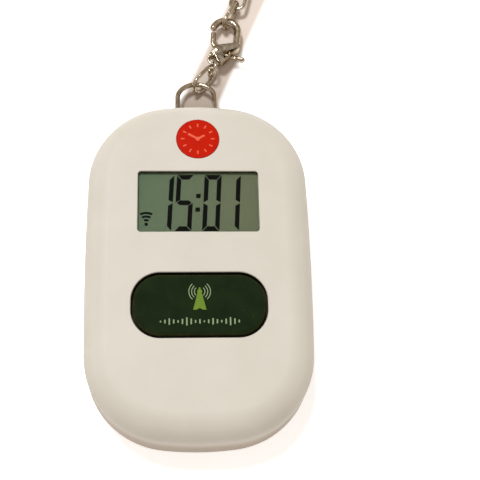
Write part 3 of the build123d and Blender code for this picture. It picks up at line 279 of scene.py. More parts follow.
def lcd_glass():
    """The grey-green ground of the display under its film, a little browner at its right end."""
    paint = Paint("lcd_glass", 0.5, 0.0, 0.0)
    reach = 11.5 * MM
    across = paint.band(paint.axis(0), -reach, reach)
    ground = paint.ramp(across, (0.0, srgb(106, 125, 99)), (1.0, srgb(115, 121, 94)))
    mottle = paint.noise(0.5, 4.0, 0.7)
    ground = paint.mix(paint.band(mottle, 0.35, 0.75, 0.0, 0.22), ground, srgb(86, 98, 78))
    paint.colour(ground)
    film = paint.noise(0.16, 2.0)
    paint.uneven_gloss(film, 0.42, 0.58)
    paint.normal(paint.bump(film, 0.002, 0.5))
    return paint.material


def clear_window():
    """Clear acrylic: each face sends back a little light, more at a low angle, and passes the rest."""
    paint = Paint("clear_window", 0.03, 1.0, 0.5)
    paint.shader.inputs["Base Color"].default_value = (0.96, 0.97, 0.95, 1.0)
    mirror = paint.add("ShaderNodeFresnel")
    mirror.inputs["IOR"].default_value = 1.45
    paint.join(mirror.outputs[0], paint.shader.inputs["Alpha"])
    paint.normal(paint.bump(paint.noise(4.0, 2.0), 0.004, 0.2))
    return paint.material


def nickel():
    """Aged nickel plate, brownish, with fine handling scratches and dull patches, darker at a low angle."""
    paint = Paint("nickel", 0.2, 1.0, 0.5)
    paint.shader.inputs["Specular Tint"].default_value = (0.42, 0.34, 0.26, 1.0)
    clouds = paint.noise(1.6, 4.0, 0.6)
    paint.colour(paint.clouded(clouds, srgb(168, 154, 134), srgb(196, 183, 163)))
    smudge = paint.noise(0.8, 3.0)
    paint.roughness(paint.band(smudge, NOISE_LOW, 0.75, 0.12, 0.3))
    fine = paint.noise(0.25, 4.0, 0.7, paint.stretched((1.0, 0.25, 1.0)), 0.4)
    paint.normal(paint.bump(fine, 0.004, 0.5))
    return paint.material


def ink(name, light, dark):
    """A dull print with a thin, slightly uneven film."""
    paint = Paint(name, 0.55, 0.0, 0.02)
    film = paint.noise(0.2, 3.0)
    paint.colour(paint.clouded(film, dark, light))
    paint.uneven_gloss(film, 0.48, 0.62)
    paint.normal(paint.bump(film, 0.002, 0.5))
    return paint.material


# Small and hidden pieces: light and dark colour, cloud and grain size, grain depth, roughness, metallic
SPECKLED = {
    "screw_steel": (srgb(188, 186, 182), srgb(160, 158, 154), 0.6, 0.12, 0.004, 0.3, 1.0),
    "bright_steel": (srgb(206, 206, 204), srgb(182, 182, 180), 1.2, 0.15, 0.003, 0.22, 1.0),
    "black_plastic": (srgb(26, 26, 27), srgb(18, 18, 19), 3.0, 0.2, 0.008, 0.5),
    "black_rubber": (srgb(34, 34, 35), srgb(24, 24, 25), 2.0, 0.15, 0.01, 0.72),
    "pale_rubber": (srgb(206, 204, 196), srgb(190, 188, 180), 2.0, 0.15, 0.008, 0.6),
    "board_green": (srgb(30, 92, 52), srgb(20, 74, 40), 1.4, 0.3, 0.006, 0.35),
    "ceramic_chip": (srgb(150, 122, 90), srgb(120, 96, 70), 0.6, 0.1, 0.004, 0.45),
    "cone_film": (srgb(196, 186, 150), srgb(176, 164, 126), 1.5, 0.3, 0.004, 0.3),
    "copper_wire": (srgb(198, 112, 66), srgb(160, 80, 44), 0.8, 0.12, 0.01, 0.3, 1.0),
    "ferrite": (srgb(66, 62, 60), srgb(48, 45, 44), 1.0, 0.15, 0.01, 0.65),
    "setting_plastic": (srgb(150, 148, 142), srgb(136, 134, 128), 2.0, 0.18, 0.008, 0.5),
}

MATERIALS = {
    "case_plastic": case_plastic(),
    "button_green": button_rubber(),
    "badge_red": badge_red(),
    "lcd_glass": lcd_glass(),
    "clear_window": clear_window(),
    "nickel": nickel(),
    "lcd_ink": ink("lcd_ink", srgb(8, 12, 9), srgb(3, 6, 4)),
    "white_ink": ink("white_ink", srgb(150, 170, 130), srgb(136, 156, 118)),
    "badge_ink": ink("badge_ink", srgb(238, 110, 84), srgb(230, 96, 72)),
    "green_ink": ink("green_ink", srgb(115, 144, 54), srgb(99, 128, 46)),
    **{name: speckled(name, *look) for name, look in SPECKLED.items()},
}

NODE_FINISH = {
    "front_shell": "case_plastic", "rear_shell": "case_plastic", "battery_cover": "case_plastic",
    "battery_cover_screw": "screw_steel", "case_screws": "screw_steel",
    "display_window": "clear_window", "display_frame": "black_plastic", "lcd_panel": "lcd_glass",
    "lcd_segments": "lcd_ink", "contact_strip": "black_rubber",
    "badge": "badge_red", "badge_print": "badge_ink",
    "circuit_board": "board_green", "controller_blob": "black_plastic", "quartz_crystal": "bright_steel",
    "board_chips": "ceramic_chip", "setting_switches": "black_plastic",
    "button_membrane": "pale_rubber", "contact_pill": "black_rubber",
    "speaker_gasket": "black_rubber", "speaker_frame": "black_plastic", "speaker_magnet": "bright_steel",
    "speaker_cone": "cone_film", "voice_coil": "copper_wire", "speaker_leads": "copper_wire",
    "ferrite_rod": "ferrite", "aerial_winding": "copper_wire",
    "button_cell_left": "bright_steel", "button_cell_right": "bright_steel",
    "cell_contacts": "bright_steel", "cell_bridge": "bright_steel",
    "talk_button": "button_green", "tower_print": "green_ink", "button_print": "white_ink",
    "mode_button": "setting_plastic", "set_button": "setting_plastic",
    "case_ring": "nickel", "link_1": "nickel", "link_2": "nickel",
    "clasp_body": "nickel", "clasp_lever": "nickel", "lever_pin": "nickel", "lever_spring": "bright_steel",
    "upper_link_1": "nickel", "upper_link_2": "nickel", "upper_link_3": "nickel", "key_ring": "nickel",
}


def finish_nodes():
    for name, node in nodes.items():
        node.data.materials.clear()
        node.data.materials.append(MATERIALS[NODE_FINISH[name]])


# The places of the chain's pieces, as in the part's source. Each piece's turns are its place round the bend
# that it hangs from, then its heading, its fall and its roll, in degrees.

RING_HALF, RING_REACH, RING_WIRE, RING_BEND = 3.8, 12.8, 1.0, 0.9
RING_SEAT, RING_FALL = (0, 30, 5.4), 15.2
LINK_1_LENGTH, LINK_1_WIDTH, LINK_1_WIRE, LINK_1_PLAY = 6.25, 3.25, 0.84, 0.57
LINK_1_TURNS = (10, 39, 1, -65)
LINK_2_WIDTH, LINK_2_WIRE, LINK_2_PLAY = 3.3, 0.58, 1.0
LINK_2_TURNS = (-19, 20.4, -24.7, 66)
EYE_WIRE, EYE_DIAMETER, CLASP_PLAY = 0.62, 2.42, 0.15
CLASP_TURNS = (-21, 6.4, 3, -2)
HOOK_WIRE, HOOK_RADIUS, HOOK_X, HOOK_Y, HOOK_END_ANGLE = 1.5, 2.61, 1.69, 8.44, 169.0
PIVOT_X, PIVOT_Y, LEVER_OFFSET = 0.5, 3.3, -0.15
UPPER_LENGTH, UPPER_WIDTH, UPPER_WIRE, UPPER_PLAY = 6.4, 3.0, 0.8, 0.41
UPPER_1_TURNS = (2.7, 27.9, -0.6, -81)
UPPER_2_TURNS = (0, 14, 0, 9.7)
UPPER_3_TURNS = (0, 24, 0, -66)
KEY_RING_DIAMETER, KEY_RING_WIRE, KEY_RING_SEAM, KEY_RING_PLAY = 23.0, 1.0, 0.65, 0.4
KEY_RING_TURNS = (0, 18, 2.9, 0)


def turned(axis, angle):
    return Matrix.Rotation(math.radians(angle), 4, axis)


def turn_of(heading, fall, roll):
    return turned("Z", -heading) @ turned("X", -fall) @ turned("Y", -roll)


def hang(parent, centre, radius, turns, seat):
    """The place of a piece whose near end lies the seat's distance inside its parent's bend."""
    angle = math.radians(turns[0])
    x, y = centre
    contact = parent @ Vector((x + radius * math.sin(angle), y + radius * math.cos(angle), 0))
    turn = turn_of(*turns[1:])
    return Matrix.Translation(contact - turn @ Vector((0, seat, 0))) @ turn


def chain_places():
    ring = Matrix.Translation(RING_SEAT) @ turned("X", -RING_FALL)
    seat = (RING_WIRE + LINK_1_WIRE) / 2 + LINK_1_PLAY
    link_1 = hang(ring, (0, RING_REACH - RING_HALF), RING_HALF, LINK_1_TURNS, seat)
    seat = (LINK_1_WIRE + LINK_2_WIRE) / 2 + LINK_2_PLAY
    bend = (0, LINK_1_LENGTH - LINK_1_WIDTH / 2)
    link_2 = hang(link_1, bend, LINK_1_WIDTH / 2, LINK_2_TURNS, seat)
    seat = (LINK_2_WIRE + EYE_WIRE) / 2 + CLASP_PLAY
    clasp = hang(link_2, (0, LINK_2_WIDTH / 2), LINK_2_WIDTH / 2, CLASP_TURNS, seat)
    seat = (HOOK_WIRE + UPPER_WIRE) / 2 + UPPER_PLAY
    upper_1 = hang(clasp, (HOOK_X, HOOK_Y), HOOK_RADIUS, UPPER_1_TURNS, seat)
    bend = (0, UPPER_LENGTH - UPPER_WIDTH / 2)
    seat = UPPER_WIRE + UPPER_PLAY
    upper_2 = hang(upper_1, bend, UPPER_WIDTH / 2, UPPER_2_TURNS, seat)
    upper_3 = hang(upper_2, bend, UPPER_WIDTH / 2, UPPER_3_TURNS, seat)
    seat = (UPPER_WIRE + KEY_RING_WIRE + KEY_RING_SEAM) / 2 + KEY_RING_PLAY
    key_ring = hang(upper_3, bend, UPPER_WIDTH / 2, KEY_RING_TURNS, seat)
    return {"case_ring": ring, "link_1": link_1, "link_2": link_2, "clasp": clasp,
            "upper_link_1": upper_1, "upper_link_2": upper_2, "upper_link_3": upper_3, "key_ring": key_ring}


# Wire and cast shapes

# An open wire's end is rounded in these steps from its tip
END_STEPS = (0.02, 0.35, 0.65, 0.86)

# Points along a link's straight side and round its bend
SIDE_POINTS, BEND_POINTS = 12, 40

# The nick where a wire's two ends meet: its depth as a share, its width, and the points that hold it
NICK_DEPTH, NICK_WIDTH, NICK_REACH, NICK_POINTS = 0.1, 0.09, 0.3, 13


def sweep(path, half_width, half_height, closed, sides=28, squareness=1.0):
    """Vertices and faces of a wire along a path that lies about flat in its own X and Y."""
    path = np.asarray(path, float)
    count = len(path)
    half_width = np.broadcast_to(np.asarray(half_width, float), count)
    half_height = np.broadcast_to(np.asarray(half_height, float), count)
    if closed:
        tangent = np.roll(path, -1, 0) - np.roll(path, 1, 0)
    else:
        tangent = np.gradient(path, axis=0)
    tangent /= np.linalg.norm(tangent, axis=1)[:, None]
    side = np.cross(tangent, (0.0, 0.0, 1.0))
    side /= np.linalg.norm(side, axis=1)[:, None]
    up = np.cross(side, tangent)
    rings = []
    angles = np.linspace(0, 2 * np.pi, sides, endpoint=False)
    across = np.sign(np.cos(angles)) * np.abs(np.cos(angles)) ** squareness
    above = np.sign(np.sin(angles)) * np.abs(np.sin(angles)) ** squareness

    def ring(index, shrink=1.0, push=0.0):
        centre = path[index] + tangent[index] * push
        return (centre + np.outer(across, side[index] * half_width[index] * shrink)
                + np.outer(above, up[index] * half_height[index] * shrink))

    if not closed:
        for step in END_STEPS:
            rings.append(ring(0, math.sin(step * math.pi / 2),
                              -math.cos(step * math.pi / 2) * min(half_width[0], half_height[0])))
    rings += [ring(index) for index in range(count)]
    if not closed:
        for step in END_STEPS[::-1]:
            rings.append(ring(count - 1, math.sin(step * math.pi / 2),
                              math.cos(step * math.pi / 2) * min(half_width[-1], half_height[-1])))
    total = len(rings)
    faces = []
    for row in range(total if closed else total - 1):
        for column in range(sides):
            following = (column + 1) % sides
            upper = (row + 1) % total
            faces.append((row * sides + column, row * sides + following,
                          upper * sides + following, upper * sides + column))
    if not closed:
        faces.append(tuple(range(sides - 1, -1, -1)))
        faces.append(tuple(range((total - 1) * sides, total * sides)))
    return np.vstack(rings), faces


def joined(shapes):
    """Several shapes' vertices and faces as one."""
    points, faces, start = [], [], 0
    for shape_points, shape_faces in shapes:
        points.append(shape_points)
        faces += [tuple(index + start for index in face) for face in shape_faces]
        start += len(shape_points)
    return np.vstack(points), faces


def piece(name, shape, matrix, body, slot, replaced):
    """A smooth mesh at its place, riding on its body in the place of the nodes that it replaces."""
    points, faces = shape
    mesh = bpy.data.meshes.new(name)
    world = [matrix @ Vector(point) * MM for point in points]
    mesh.from_pydata(world, [], faces)
    mesh.validate()
    mesh.update()
    mesh.polygons.foreach_set("use_smooth", [True] * len(mesh.polygons))
    thing = bpy.data.objects.new(name, mesh)
    bpy.context.scene.collection.objects.link(thing)
    mesh.materials.append(MATERIALS[slot])
    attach(thing, body)
    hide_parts(*replaced)
    return thing


def arc_points(centre, radius, start, end, count):
    angles = np.radians(np.linspace(start, end, count))
    return np.c_[centre[0] + radius * np.cos(angles), centre[1] + radius * np.sin(angles), np.zeros(count)]


def side_points(x, start, end, count):
    """Even points between the two ends of a straight side, without the ends themselves."""
    return np.c_[np.full(count, x), np.linspace(start, end, count + 2)[1:-1], np.zeros(count)]


def oval_path(length, width):
    """A round-ended loop from its near end. With its length the same as its width it is a circle."""
    half = width / 2
    straight = length - width
    far = arc_points((0, half + straight), half, 180, 0, BEND_POINTS)
    near = arc_points((0, half), half, 0, -180, BEND_POINTS)
    if length == width:
        return np.vstack([near[:-1], far[:-1]])
    left = side_points(-half, half, half + straight, SIDE_POINTS)
    right = side_points(half, half + straight, half, SIDE_POINTS)
    return np.vstack([near, left, far, right])


def wire_wear(path, half, seam_at):
    """The wire's half thickness along its loop, with the nick where its two ends meet."""
    steps = np.linalg.norm(np.diff(np.vstack([path, path[:1]]), axis=0), axis=1)
    along = np.r_[0, np.cumsum(steps)[:-1]] / steps.sum()
    distance = np.abs((along - seam_at + 0.5) % 1 - 0.5) * steps.sum()
    return half * (1 - NICK_DEPTH * np.exp(-(distance / NICK_WIDTH) ** 2))


def add_seam_points(path, seam_at):
    """More points round the place of a seam, so that the nick is sharp."""
    closed = np.vstack([path, path[:1]])
    steps = np.linalg.norm(np.diff(closed, axis=0), axis=1)
    along = np.r_[0, np.cumsum(steps)]
    total = along[-1]
    extra = (seam_at * total + np.linspace(-NICK_REACH, NICK_REACH, NICK_POINTS)) % total
    places = np.unique(np.round(np.r_[along[:-1], extra], 5))
    return np.c_[np.interp(places, along, closed[:, 0]), np.interp(places, along, closed[:, 1]),
                 np.interp(places, along, closed[:, 2])]


def wire_loop(name, path, wire, matrix, seam_at, body):
    """A closed wire with its nick, in the place of the body's own node."""
    path = add_seam_points(path, seam_at)
    half = wire_wear(path, wire / 2, seam_at)
    piece(name, sweep(path, half, half, True), matrix, body, "nickel", (body,))


def case_ring_path():
    """The case ring from its straight bar's left end, anticlockwise."""
    half, bend = RING_HALF, RING_BEND
    straight = RING_REACH - half
    bar = np.c_[np.linspace(-(half - bend), half - bend, 15), np.zeros(15), np.zeros(15)]
    right_bend = arc_points((half - bend, bend), bend, -90, 0, 9)[1:]
    right = side_points(half, bend, straight, 10)
    top = arc_points((0, straight), half, 0, 180, 41)
    left = side_points(-half, straight, bend, 10)
    left_bend = arc_points((bend - half, bend), bend, 180, 270, 9)[:-1]
    return np.vstack([bar, right_bend, right, top, left, left_bend])


# The split ring's wire starts and ends near one place, in degrees, and steps down over a stretch between.
# It stays a little inside its solid.
COIL_START, COIL_END, COIL_POINTS = 4, 716, 260
STEP_START, STEP_LENGTH = 345, 30
COIL_IN, COIL_GAP, COIL_SQUARENESS = 0.02, 0.03, 0.55


def split_ring(matrix):
    """A flat-wound split ring of two close turns with a step where they cross."""
    radius = KEY_RING_DIAMETER / 2
    height = (KEY_RING_SEAM + KEY_RING_WIRE) / 4
    turns = np.radians(np.linspace(COIL_START, COIL_END, COIL_POINTS))
    crossing = np.clip((turns - math.radians(STEP_START)) / math.radians(STEP_LENGTH), 0, 1)
    lift = height * (1 - 2 * crossing * crossing * (3 - 2 * crossing))
    path = np.c_[radius * np.cos(turns), radius + radius * np.sin(turns), lift]
    shape = sweep(path, KEY_RING_WIRE / 2 - COIL_IN, height - COIL_GAP, False, 24, COIL_SQUARENESS)
    piece("split_ring", shape, matrix, "key_ring", "nickel", ("key_ring",))


# How a casting's surface is smoothed, and the angle past which its edges stay sharp
SMOOTH_SHARE, SMOOTH_ROUNDS, SHARP_ANGLE = 0.5, 4, 50


def cast(name, shapes, voxel, matrix, body, replaced, cuts=()):
    """Overlapping shapes melted into one cast piece, then smoothed and cut."""
    points, faces = joined(shapes)
    mesh = bpy.data.meshes.new(name + "_raw")
    mesh.from_pydata([tuple(point) for point in points], [], faces)
    mesh.update()
    raw = bpy.data.objects.new(name + "_raw", mesh)
    bpy.context.scene.collection.objects.link(raw)
    melt = raw.modifiers.new("melt", "REMESH")
    melt.mode = "VOXEL"
    melt.voxel_size = voxel
    smooth = raw.modifiers.new("smooth", "SMOOTH")
    smooth.factor = SMOOTH_SHARE
    smooth.iterations = SMOOTH_ROUNDS
    cutters = []
    for number, shape in enumerate(cuts):
        cutter_mesh = bpy.data.meshes.new(f"{name}_cut_{number}")
        cutter_mesh.from_pydata([tuple(point) for point in shape[0]], [], shape[1])
        cutter_mesh.update()
        cutter = bpy.data.objects.new(f"{name}_cut_{number}", cutter_mesh)
        bpy.context.scene.collection.objects.link(cutter)
        carve = raw.modifiers.new(f"carve_{number}", "BOOLEAN")
        carve.operation = "DIFFERENCE"
        carve.object = cutter
        carve.solver = "EXACT"
        cutters.append(cutter)
    bpy.context.view_layer.update()
    result = bpy.data.meshes.new_from_object(raw.evaluated_get(bpy.context.evaluated_depsgraph_get()))
    shape_points = np.array([vertex.co for vertex in result.vertices], float)
    shape_faces = [tuple(polygon.vertices) for polygon in result.polygons]
    for spare in [raw, *cutters]:
        bpy.data.objects.remove(spare)
    thing = piece(name, (shape_points, shape_faces), matrix, body, "nickel", replaced)
    thing.data.set_sharp_from_angle(angle=math.radians(SHARP_ANGLE))


def tapered(points, half_widths, half_heights, sides):
    """A round-ended bar through points of the clasp's plane, with a half width and half height at each."""
    points = np.array([(x, y, 0.0) for x, y in points], float)
    steps = np.r_[0, np.cumsum(np.linalg.norm(np.diff(points, axis=0), axis=1))]
    step, least = 0.15, 8
    even = np.linspace(0, steps[-1], max(least, int(steps[-1] / step)))
    path = np.c_[[np.interp(even, steps, points[:, axis]) for axis in range(3)]].T
    widths = np.interp(even, steps, half_widths)
    heights = np.interp(even, steps, half_heights)
    return sweep(path, widths, heights, False, sides)


def hook_point(angle):
    turn = math.radians(angle)
    return (HOOK_X + HOOK_RADIUS * math.cos(turn), HOOK_Y + HOOK_RADIUS * math.sin(turn))


def disc(x, y, radius, half_height, edge=0.12, sides=40):
    """A round boss with chamfered edges, its axis across the clasp's plane."""
    profile = [(radius - edge, -half_height), (radius, edge - half_height),
               (radius, half_height - edge), (radius - edge, half_height)]
    angles = np.linspace(0, 2 * np.pi, sides, endpoint=False)
    points = [(x + reach * math.cos(angle), y + reach * math.sin(angle), z)
              for reach, z in profile for angle in angles]
    faces = []
    last = len(profile) - 1
    for row in range(last):
        for column in range(sides):
            following = (column + 1) % sides
            faces.append((row * sides + column, row * sides + following,
                          (row + 1) * sides + following, (row + 1) * sides + column))
    faces.append(tuple(range(sides - 1, -1, -1)))
    faces.append(tuple(range(last * sides, (last + 1) * sides)))
    return np.array(points), faces


def prism(corners, low, high):
    """A straight-walled block over a convex outline given anticlockwise."""
    count = len(corners)
    points = np.array([(x, y, z) for z in (low, high) for x, y in corners], float)
    faces = [tuple(range(count - 1, -1, -1)), tuple(range(count, 2 * count))]
    for index in range(count):
        following = (index + 1) % count
        faces.append((index, following, count + following, count + index))
    return points, faces


def hull_outline(circles, sides=72):
    """The outline of a band drawn tight round some circles of the clasp's plane."""
    outline = []
    for angle in np.linspace(0, 2 * np.pi, sides, endpoint=False):
        x, y, radius = max(circles, key=lambda c: c[0] * math.cos(angle) + c[1] * math.sin(angle) + c[2])
        outline.append((x + radius * math.cos(angle), y + radius * math.sin(angle)))
    return outline


# The clasp's shapes in its own plane: x across it and y along it from the eye's near end.
# Heights are from that plane, and a circle is its place and its radius.

ARM_X, ARM_Y = HOOK_X + HOOK_RADIUS, 4.75
ARM_FOOT_IN, ARM_FOOT_Y = 0.25, 4.2
ARM_HALF_WIDTHS, ARM_HALF_HEIGHTS = (0.9, 0.85), (0.93, 0.9)
BOW_POINTS, BOW_TAPER_POINTS, BOW_START_HALF = 40, 12, 0.86
BODY_HALF, WEB_TOP = 0.92, 0.72
PLATE_CIRCLES = [(PIVOT_X, PIVOT_Y, 1.12), (1.35, 0.95, 0.8), (ARM_X, ARM_Y, HOOK_WIRE / 2)]
WEB_CIRCLES = [(PIVOT_X, PIVOT_Y, 1.0), (-0.75, 1.95, 0.42)]
FOOT_LINE = [(1.2, 0.95), (1.35, 1.05), (1.5, 1.3)]
FOOT_HALF_WIDTHS, FOOT_HALF_HEIGHTS = (0.66, 0.76, 0.7), (0.8, 0.96, 0.9)

# The eye's wire is a little thinner than its solid, which keeps it clear of the jump ring in the swing
EYE_THINNING, EYE_POINTS, EYE_LAST_ANGLE = 0.04, 40, 351

# The gate's bend, and its gap to the hook's end
GATE_BEND, GATE_GAP = (-0.55, 5.3), 0.15

# The spring pocket and the lever's room, cut from the casting
CUT_FLOOR, POCKET_TOP, ROOM_TOP = -0.55, 1.4, 0.5
POCKET_CORNERS = [(1.95, 1.1), (4.5, 4.2), (1.7, 2.65)]
ROOM_CIRCLES = [(PIVOT_X, PIVOT_Y, 0.95), (*GATE_BEND, 0.75)]

PIN_HEAD_RADIUS, PIN_HEAD_HALF, PIN_HEAD_EDGE, PIN_HEAD_RISE = 0.95, 0.04, 0.03, 0.93
LEVER_HALF, KNUCKLE_RADIUS = 0.33, 0.8
GATE_HALF_WIDTHS = (0.56, 0.6, 0.56)
TAB_LINE = [(PIVOT_X, PIVOT_Y), (3.4, 2.45), (4.3, 2.27), (4.8, 2.16), (5.9, 1.93)]
TAB_HALF_WIDTHS = (0.5, 0.5, 0.5, 0.52, 0.5)
TAB_HALF_HEIGHTS = (LEVER_HALF, LEVER_HALF, LEVER_HALF, 0.6, 0.66)
CASTING_VOXEL, LEVER_VOXEL = 0.075, 0.07


def gate_line():
    """The gate from the pin over its bend to its tip beside the hook's end."""
    tip_x, tip_y = hook_point(HOOK_END_ANGLE)
    bend_x, bend_y = GATE_BEND
    reach = math.hypot(tip_x - bend_x, tip_y - bend_y)
    share = 1 - (HOOK_WIRE / 2 + LEVER_HALF + GATE_GAP) / reach
    tip = (bend_x + (tip_x - bend_x) * share, bend_y + (tip_y - bend_y) * share)
    return [(PIVOT_X, PIVOT_Y), GATE_BEND, tip]


def shifted(shape, rise):
    points = shape[0].copy()
    points[:, 2] += rise
    return points, shape[1]


def casting_shapes():
    """The hook with its arm, the body's plate, web and rounded foot, and the eye."""
    half = HOOK_WIRE / 2
    arm = [(ARM_X - ARM_FOOT_IN, ARM_FOOT_Y), (ARM_X, ARM_Y)]
    bow = [hook_point(angle) for angle in np.linspace(0, HOOK_END_ANGLE, BOW_POINTS)]
    widths = np.r_[ARM_HALF_WIDTHS, np.full(BOW_POINTS, half)]
    taper = np.linspace(BOW_START_HALF, half, BOW_TAPER_POINTS)
    heights = np.r_[ARM_HALF_HEIGHTS, taper, np.full(BOW_POINTS - BOW_TAPER_POINTS, half)]
    hook = tapered(arm + bow, widths, heights, sides=30)
    plate = prism(hull_outline(PLATE_CIRCLES), -BODY_HALF, BODY_HALF)
    web = prism(hull_outline(WEB_CIRCLES), -BODY_HALF, WEB_TOP)
    foot = tapered(FOOT_LINE, FOOT_HALF_WIDTHS, FOOT_HALF_HEIGHTS, sides=26)
    radius, eye_half = EYE_DIAMETER / 2, EYE_WIRE / 2 - EYE_THINNING
    eye_path = arc_points((0, radius), radius, 0, EYE_LAST_ANGLE, EYE_POINTS)
    eye = sweep(eye_path, eye_half, eye_half, True, sides=20)
    return [hook, plate, web, foot, eye]


def lever_shapes():
    """The gate, the knuckle round the pin and the thumb tab, set off the clasp's plane."""
    gate = tapered(gate_line(), GATE_HALF_WIDTHS, (LEVER_HALF, LEVER_HALF, LEVER_HALF), sides=24)
    knuckle = disc(PIVOT_X, PIVOT_Y, KNUCKLE_RADIUS, LEVER_HALF)
    tab = tapered(TAB_LINE, TAB_HALF_WIDTHS, TAB_HALF_HEIGHTS, sides=24)
    return [shifted(shape, LEVER_OFFSET) for shape in (gate, knuckle, tab)]


def clasp_pieces(matrix):
    pocket = prism(POCKET_CORNERS, CUT_FLOOR, POCKET_TOP)
    room = prism(hull_outline(ROOM_CIRCLES), CUT_FLOOR, ROOM_TOP)
    cast("clasp_casting", casting_shapes(), CASTING_VOXEL, matrix, "clasp", ("clasp_body",), (pocket, room))
    head = disc(PIVOT_X, PIVOT_Y, PIN_HEAD_RADIUS, PIN_HEAD_HALF, PIN_HEAD_EDGE)
    piece("pin_head", shifted(head, PIN_HEAD_RISE), matrix, "clasp", "nickel", ("lever_pin",))
    cast("clasp_gate", lever_shapes(), LEVER_VOXEL, matrix, "clasp_lever", ("clasp_lever",))


# Where each loop's seam lies, as a share of the way round from the start of its path
RING_SEAM, LINK_1_SEAM, LINK_2_SEAM = 0.1, 0.36, 0.3
UPPER_SEAMS = {"1": 0.36, "2": 0.86, "3": 0.36}


def chain():
    places = chain_places()
    oval = oval_path(LINK_1_LENGTH, LINK_1_WIDTH)
    circle = oval_path(LINK_2_WIDTH, LINK_2_WIDTH)
    upper = oval_path(UPPER_LENGTH, UPPER_WIDTH)
    wire_loop("case_ring_wire", case_ring_path(), RING_WIRE, places["case_ring"], RING_SEAM, "case_ring")
    wire_loop("oval_link", oval, LINK_1_WIRE, places["link_1"], LINK_1_SEAM, "link_1")
    wire_loop("jump_ring", circle, LINK_2_WIRE, places["link_2"], LINK_2_SEAM, "link_2")
    for number, seam_at in UPPER_SEAMS.items():
        body = "upper_link_" + number
        wire_loop("chain_link_" + number, upper, UPPER_WIRE, places[body], seam_at, body)
    split_ring(places["key_ring"])
    clasp_pieces(places["clasp"])


# Floor, light and camera

# The floor's glow is painted light: it fills the case's cast shadow, and it is left off under the chain
FLOOR_REACH, FLOOR_GLOW = 3.0, 0.55

# The painted shadow on the floor: a light brown tone under the chain in the place of its soft shadow,
# darkest near the case ring. Its middle runs straight, then leans.
TONE_SIDE, TONE_LEAN_Y, TONE_LEAN = 0.3, 38.0, 0.42
TONE_HALF, TONE_HALF_FADED = 3.3, 5.0
TONE_START, TONE_FULL, TONE_FADING, TONE_END = 24.0, 30.0, 82.0, 100.0
TONE_DARK_Y, TONE_PALE_Y = 37.0, 50.0
TONE_DARK, TONE_PALE = (0.40, 0.335, 0.28, 1.0), (0.80, 0.71, 0.64, 1.0)

# The key light, in metres
KEY_PLACE, KEY_TARGET = (-0.6, 1.15, 2.75), (0.0, 0.01, 0.006)
KEY_SIZE, KEY_POWER, KEY_COLOUR = 0.75, 61.0, (0.96, 1.0, 1.03)

# The sky's low and high colours, and its dark patch: its direction, its rim's and core's cosines, its light
SKY_LOW, SKY_HIGH, SKY_HIGH_AT = (0.16, 0.125, 0.095, 1.0), (0.68, 0.60, 0.53, 1.0), 0.85
PATCH_TOWARD, PATCH_RIM, PATCH_CORE, PATCH_STRENGTH = (0.02, 0.37, 0.93), 0.93, 0.985, 0.08

# The camera as fitted to the photo
CAMERA_PLACE, CAMERA_TURN = (-4.168, -69.014, 197.2), (0.9819605, 0.1867574, -0.0288211, -0.0066773)
CAMERA_LENS, SENSOR_WIDTH = 81.04, 36.0
CLIP_START, CLIP_END = 0.01, 20.0


def floor_paper():
    """White paper that glows a little, as painted light that washes out the case's cast shadow, except
    under the chain where the painted shadow lies.
    """
    paint = Paint("floor_paper", 0.9, 0.0, 0.1)
    white = paint.clouded(paint.noise(60.0, 2.0), (0.94, 0.96, 0.97, 1.0), (0.95, 0.97, 0.98, 1.0))
    lean = paint.math("MULTIPLY", paint.math("SUBTRACT", paint.axis(1), TONE_LEAN_Y * MM), TONE_LEAN)
    middle = paint.math("ADD", paint.math("MAXIMUM", lean, 0.0), TONE_SIDE * MM)
    off = paint.math("ABSOLUTE", paint.math("SUBTRACT", paint.axis(0), middle))
    beside = paint.band(off, TONE_HALF * MM, TONE_HALF_FADED * MM, 1.0, 0.0)
    along = paint.math("MINIMUM", paint.band(paint.axis(1), TONE_START * MM, TONE_FULL * MM),
                       paint.band(paint.axis(1), TONE_FADING * MM, TONE_END * MM, 1.0, 0.0))
    near = paint.math("MULTIPLY", beside, along)
    # Painted shadow: darker near the case ring, paler up the chain
    painted_shadow_tone = paint.ramp(paint.band(paint.axis(1), TONE_DARK_Y * MM, TONE_PALE_Y * MM),
                     (0.0, TONE_DARK), (1.0, TONE_PALE))
    paint.colour(paint.mix(near, white, painted_shadow_tone))
    paint.shader.inputs["Emission Color"].default_value = (1.0, 1.0, 1.0, 1.0)
    # Painted light: the glow everywhere but under the chain
    shadow_lifting_glow = paint.math("MULTIPLY", paint.math("SUBTRACT", 1.0, near), FLOOR_GLOW)
    paint.join(shadow_lifting_glow, paint.shader.inputs["Emission Strength"])
    return paint.material


def floor():
    mesh = bpy.data.meshes.new("floor")
    corners = [(x * FLOOR_REACH, y * FLOOR_REACH, 0) for x, y in ((-1, -1), (1, -1), (1, 1), (-1, 1))]
    mesh.from_pydata(corners, [], [(0, 1, 2, 3)])
    thing = bpy.data.objects.new("floor", mesh)
    bpy.context.scene.collection.objects.link(thing)
    mesh.materials.append(floor_paper())


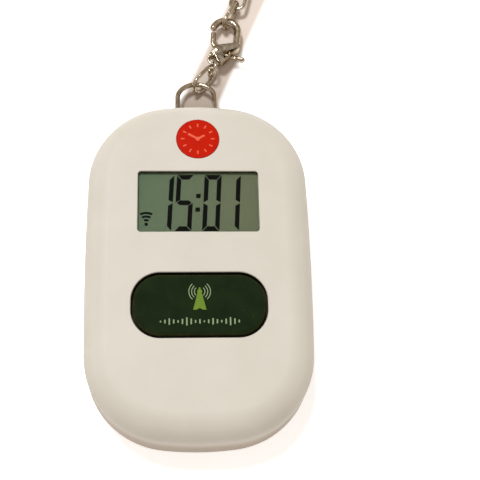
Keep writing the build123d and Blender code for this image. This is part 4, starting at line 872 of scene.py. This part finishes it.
def area_light(name, place, target, size, power, colour):
    data = bpy.data.lights.new(name, "AREA")
    data.shape = "DISK"
    data.size = size
    data.energy = power
    data.color = colour
    thing = bpy.data.objects.new(name, data)
    thing.location = place
    thing.rotation_euler = (Vector(target) - Vector(place)).to_track_quat("-Z", "Y").to_euler()
    bpy.context.scene.collection.objects.link(thing)


def lights():
    """A soft key from high behind the object, to its left, and a warm sky with a dark patch over it."""
    area_light("key", KEY_PLACE, KEY_TARGET, KEY_SIZE, KEY_POWER, KEY_COLOUR)
    world = bpy.data.worlds.new("sky")
    world.use_nodes = True
    bpy.context.scene.world = world
    tree = world.node_tree
    ground = tree.nodes["Background"]
    direction = tree.nodes.new("ShaderNodeTexCoord").outputs["Generated"]
    split = tree.nodes.new("ShaderNodeSeparateXYZ")
    ramp = tree.nodes.new("ShaderNodeValToRGB")
    tree.links.new(direction, split.inputs[0])
    tree.links.new(split.outputs["Z"], ramp.inputs["Fac"])
    for stop, place, colour in zip(ramp.color_ramp.elements, (0.0, SKY_HIGH_AT), (SKY_LOW, SKY_HIGH)):
        stop.position = place
        stop.color = colour
    toward = tree.nodes.new("ShaderNodeVectorMath")
    toward.operation = "DOT_PRODUCT"
    toward.inputs[1].default_value = Vector(PATCH_TOWARD).normalized()
    tree.links.new(direction, toward.inputs[0])
    patch = tree.nodes.new("ShaderNodeMapRange")
    patch.interpolation_type = "SMOOTHSTEP"
    reach = {"From Min": PATCH_RIM, "From Max": PATCH_CORE, "To Min": 1.0, "To Max": PATCH_STRENGTH}
    for name, value in reach.items():
        patch.inputs[name].default_value = value
    tree.links.new(toward.outputs["Value"], patch.inputs["Value"])
    tree.links.new(ramp.outputs["Color"], ground.inputs["Color"])
    tree.links.new(patch.outputs["Result"], ground.inputs["Strength"])


def camera():
    data = bpy.data.cameras.new("camera")
    data.lens = CAMERA_LENS
    data.sensor_width = SENSOR_WIDTH
    data.clip_start = CLIP_START
    data.clip_end = CLIP_END
    thing = bpy.data.objects.new("camera", data)
    thing.rotation_mode = "QUATERNION"
    thing.location = Vector(CAMERA_PLACE) * MM
    thing.rotation_quaternion = Quaternion(CAMERA_TURN)
    bpy.context.scene.collection.objects.link(thing)
    bpy.context.scene.camera = thing


bpy.context.scene.view_settings.view_transform = "Standard"
camera()
lights()
floor()
finish_nodes()
chain()
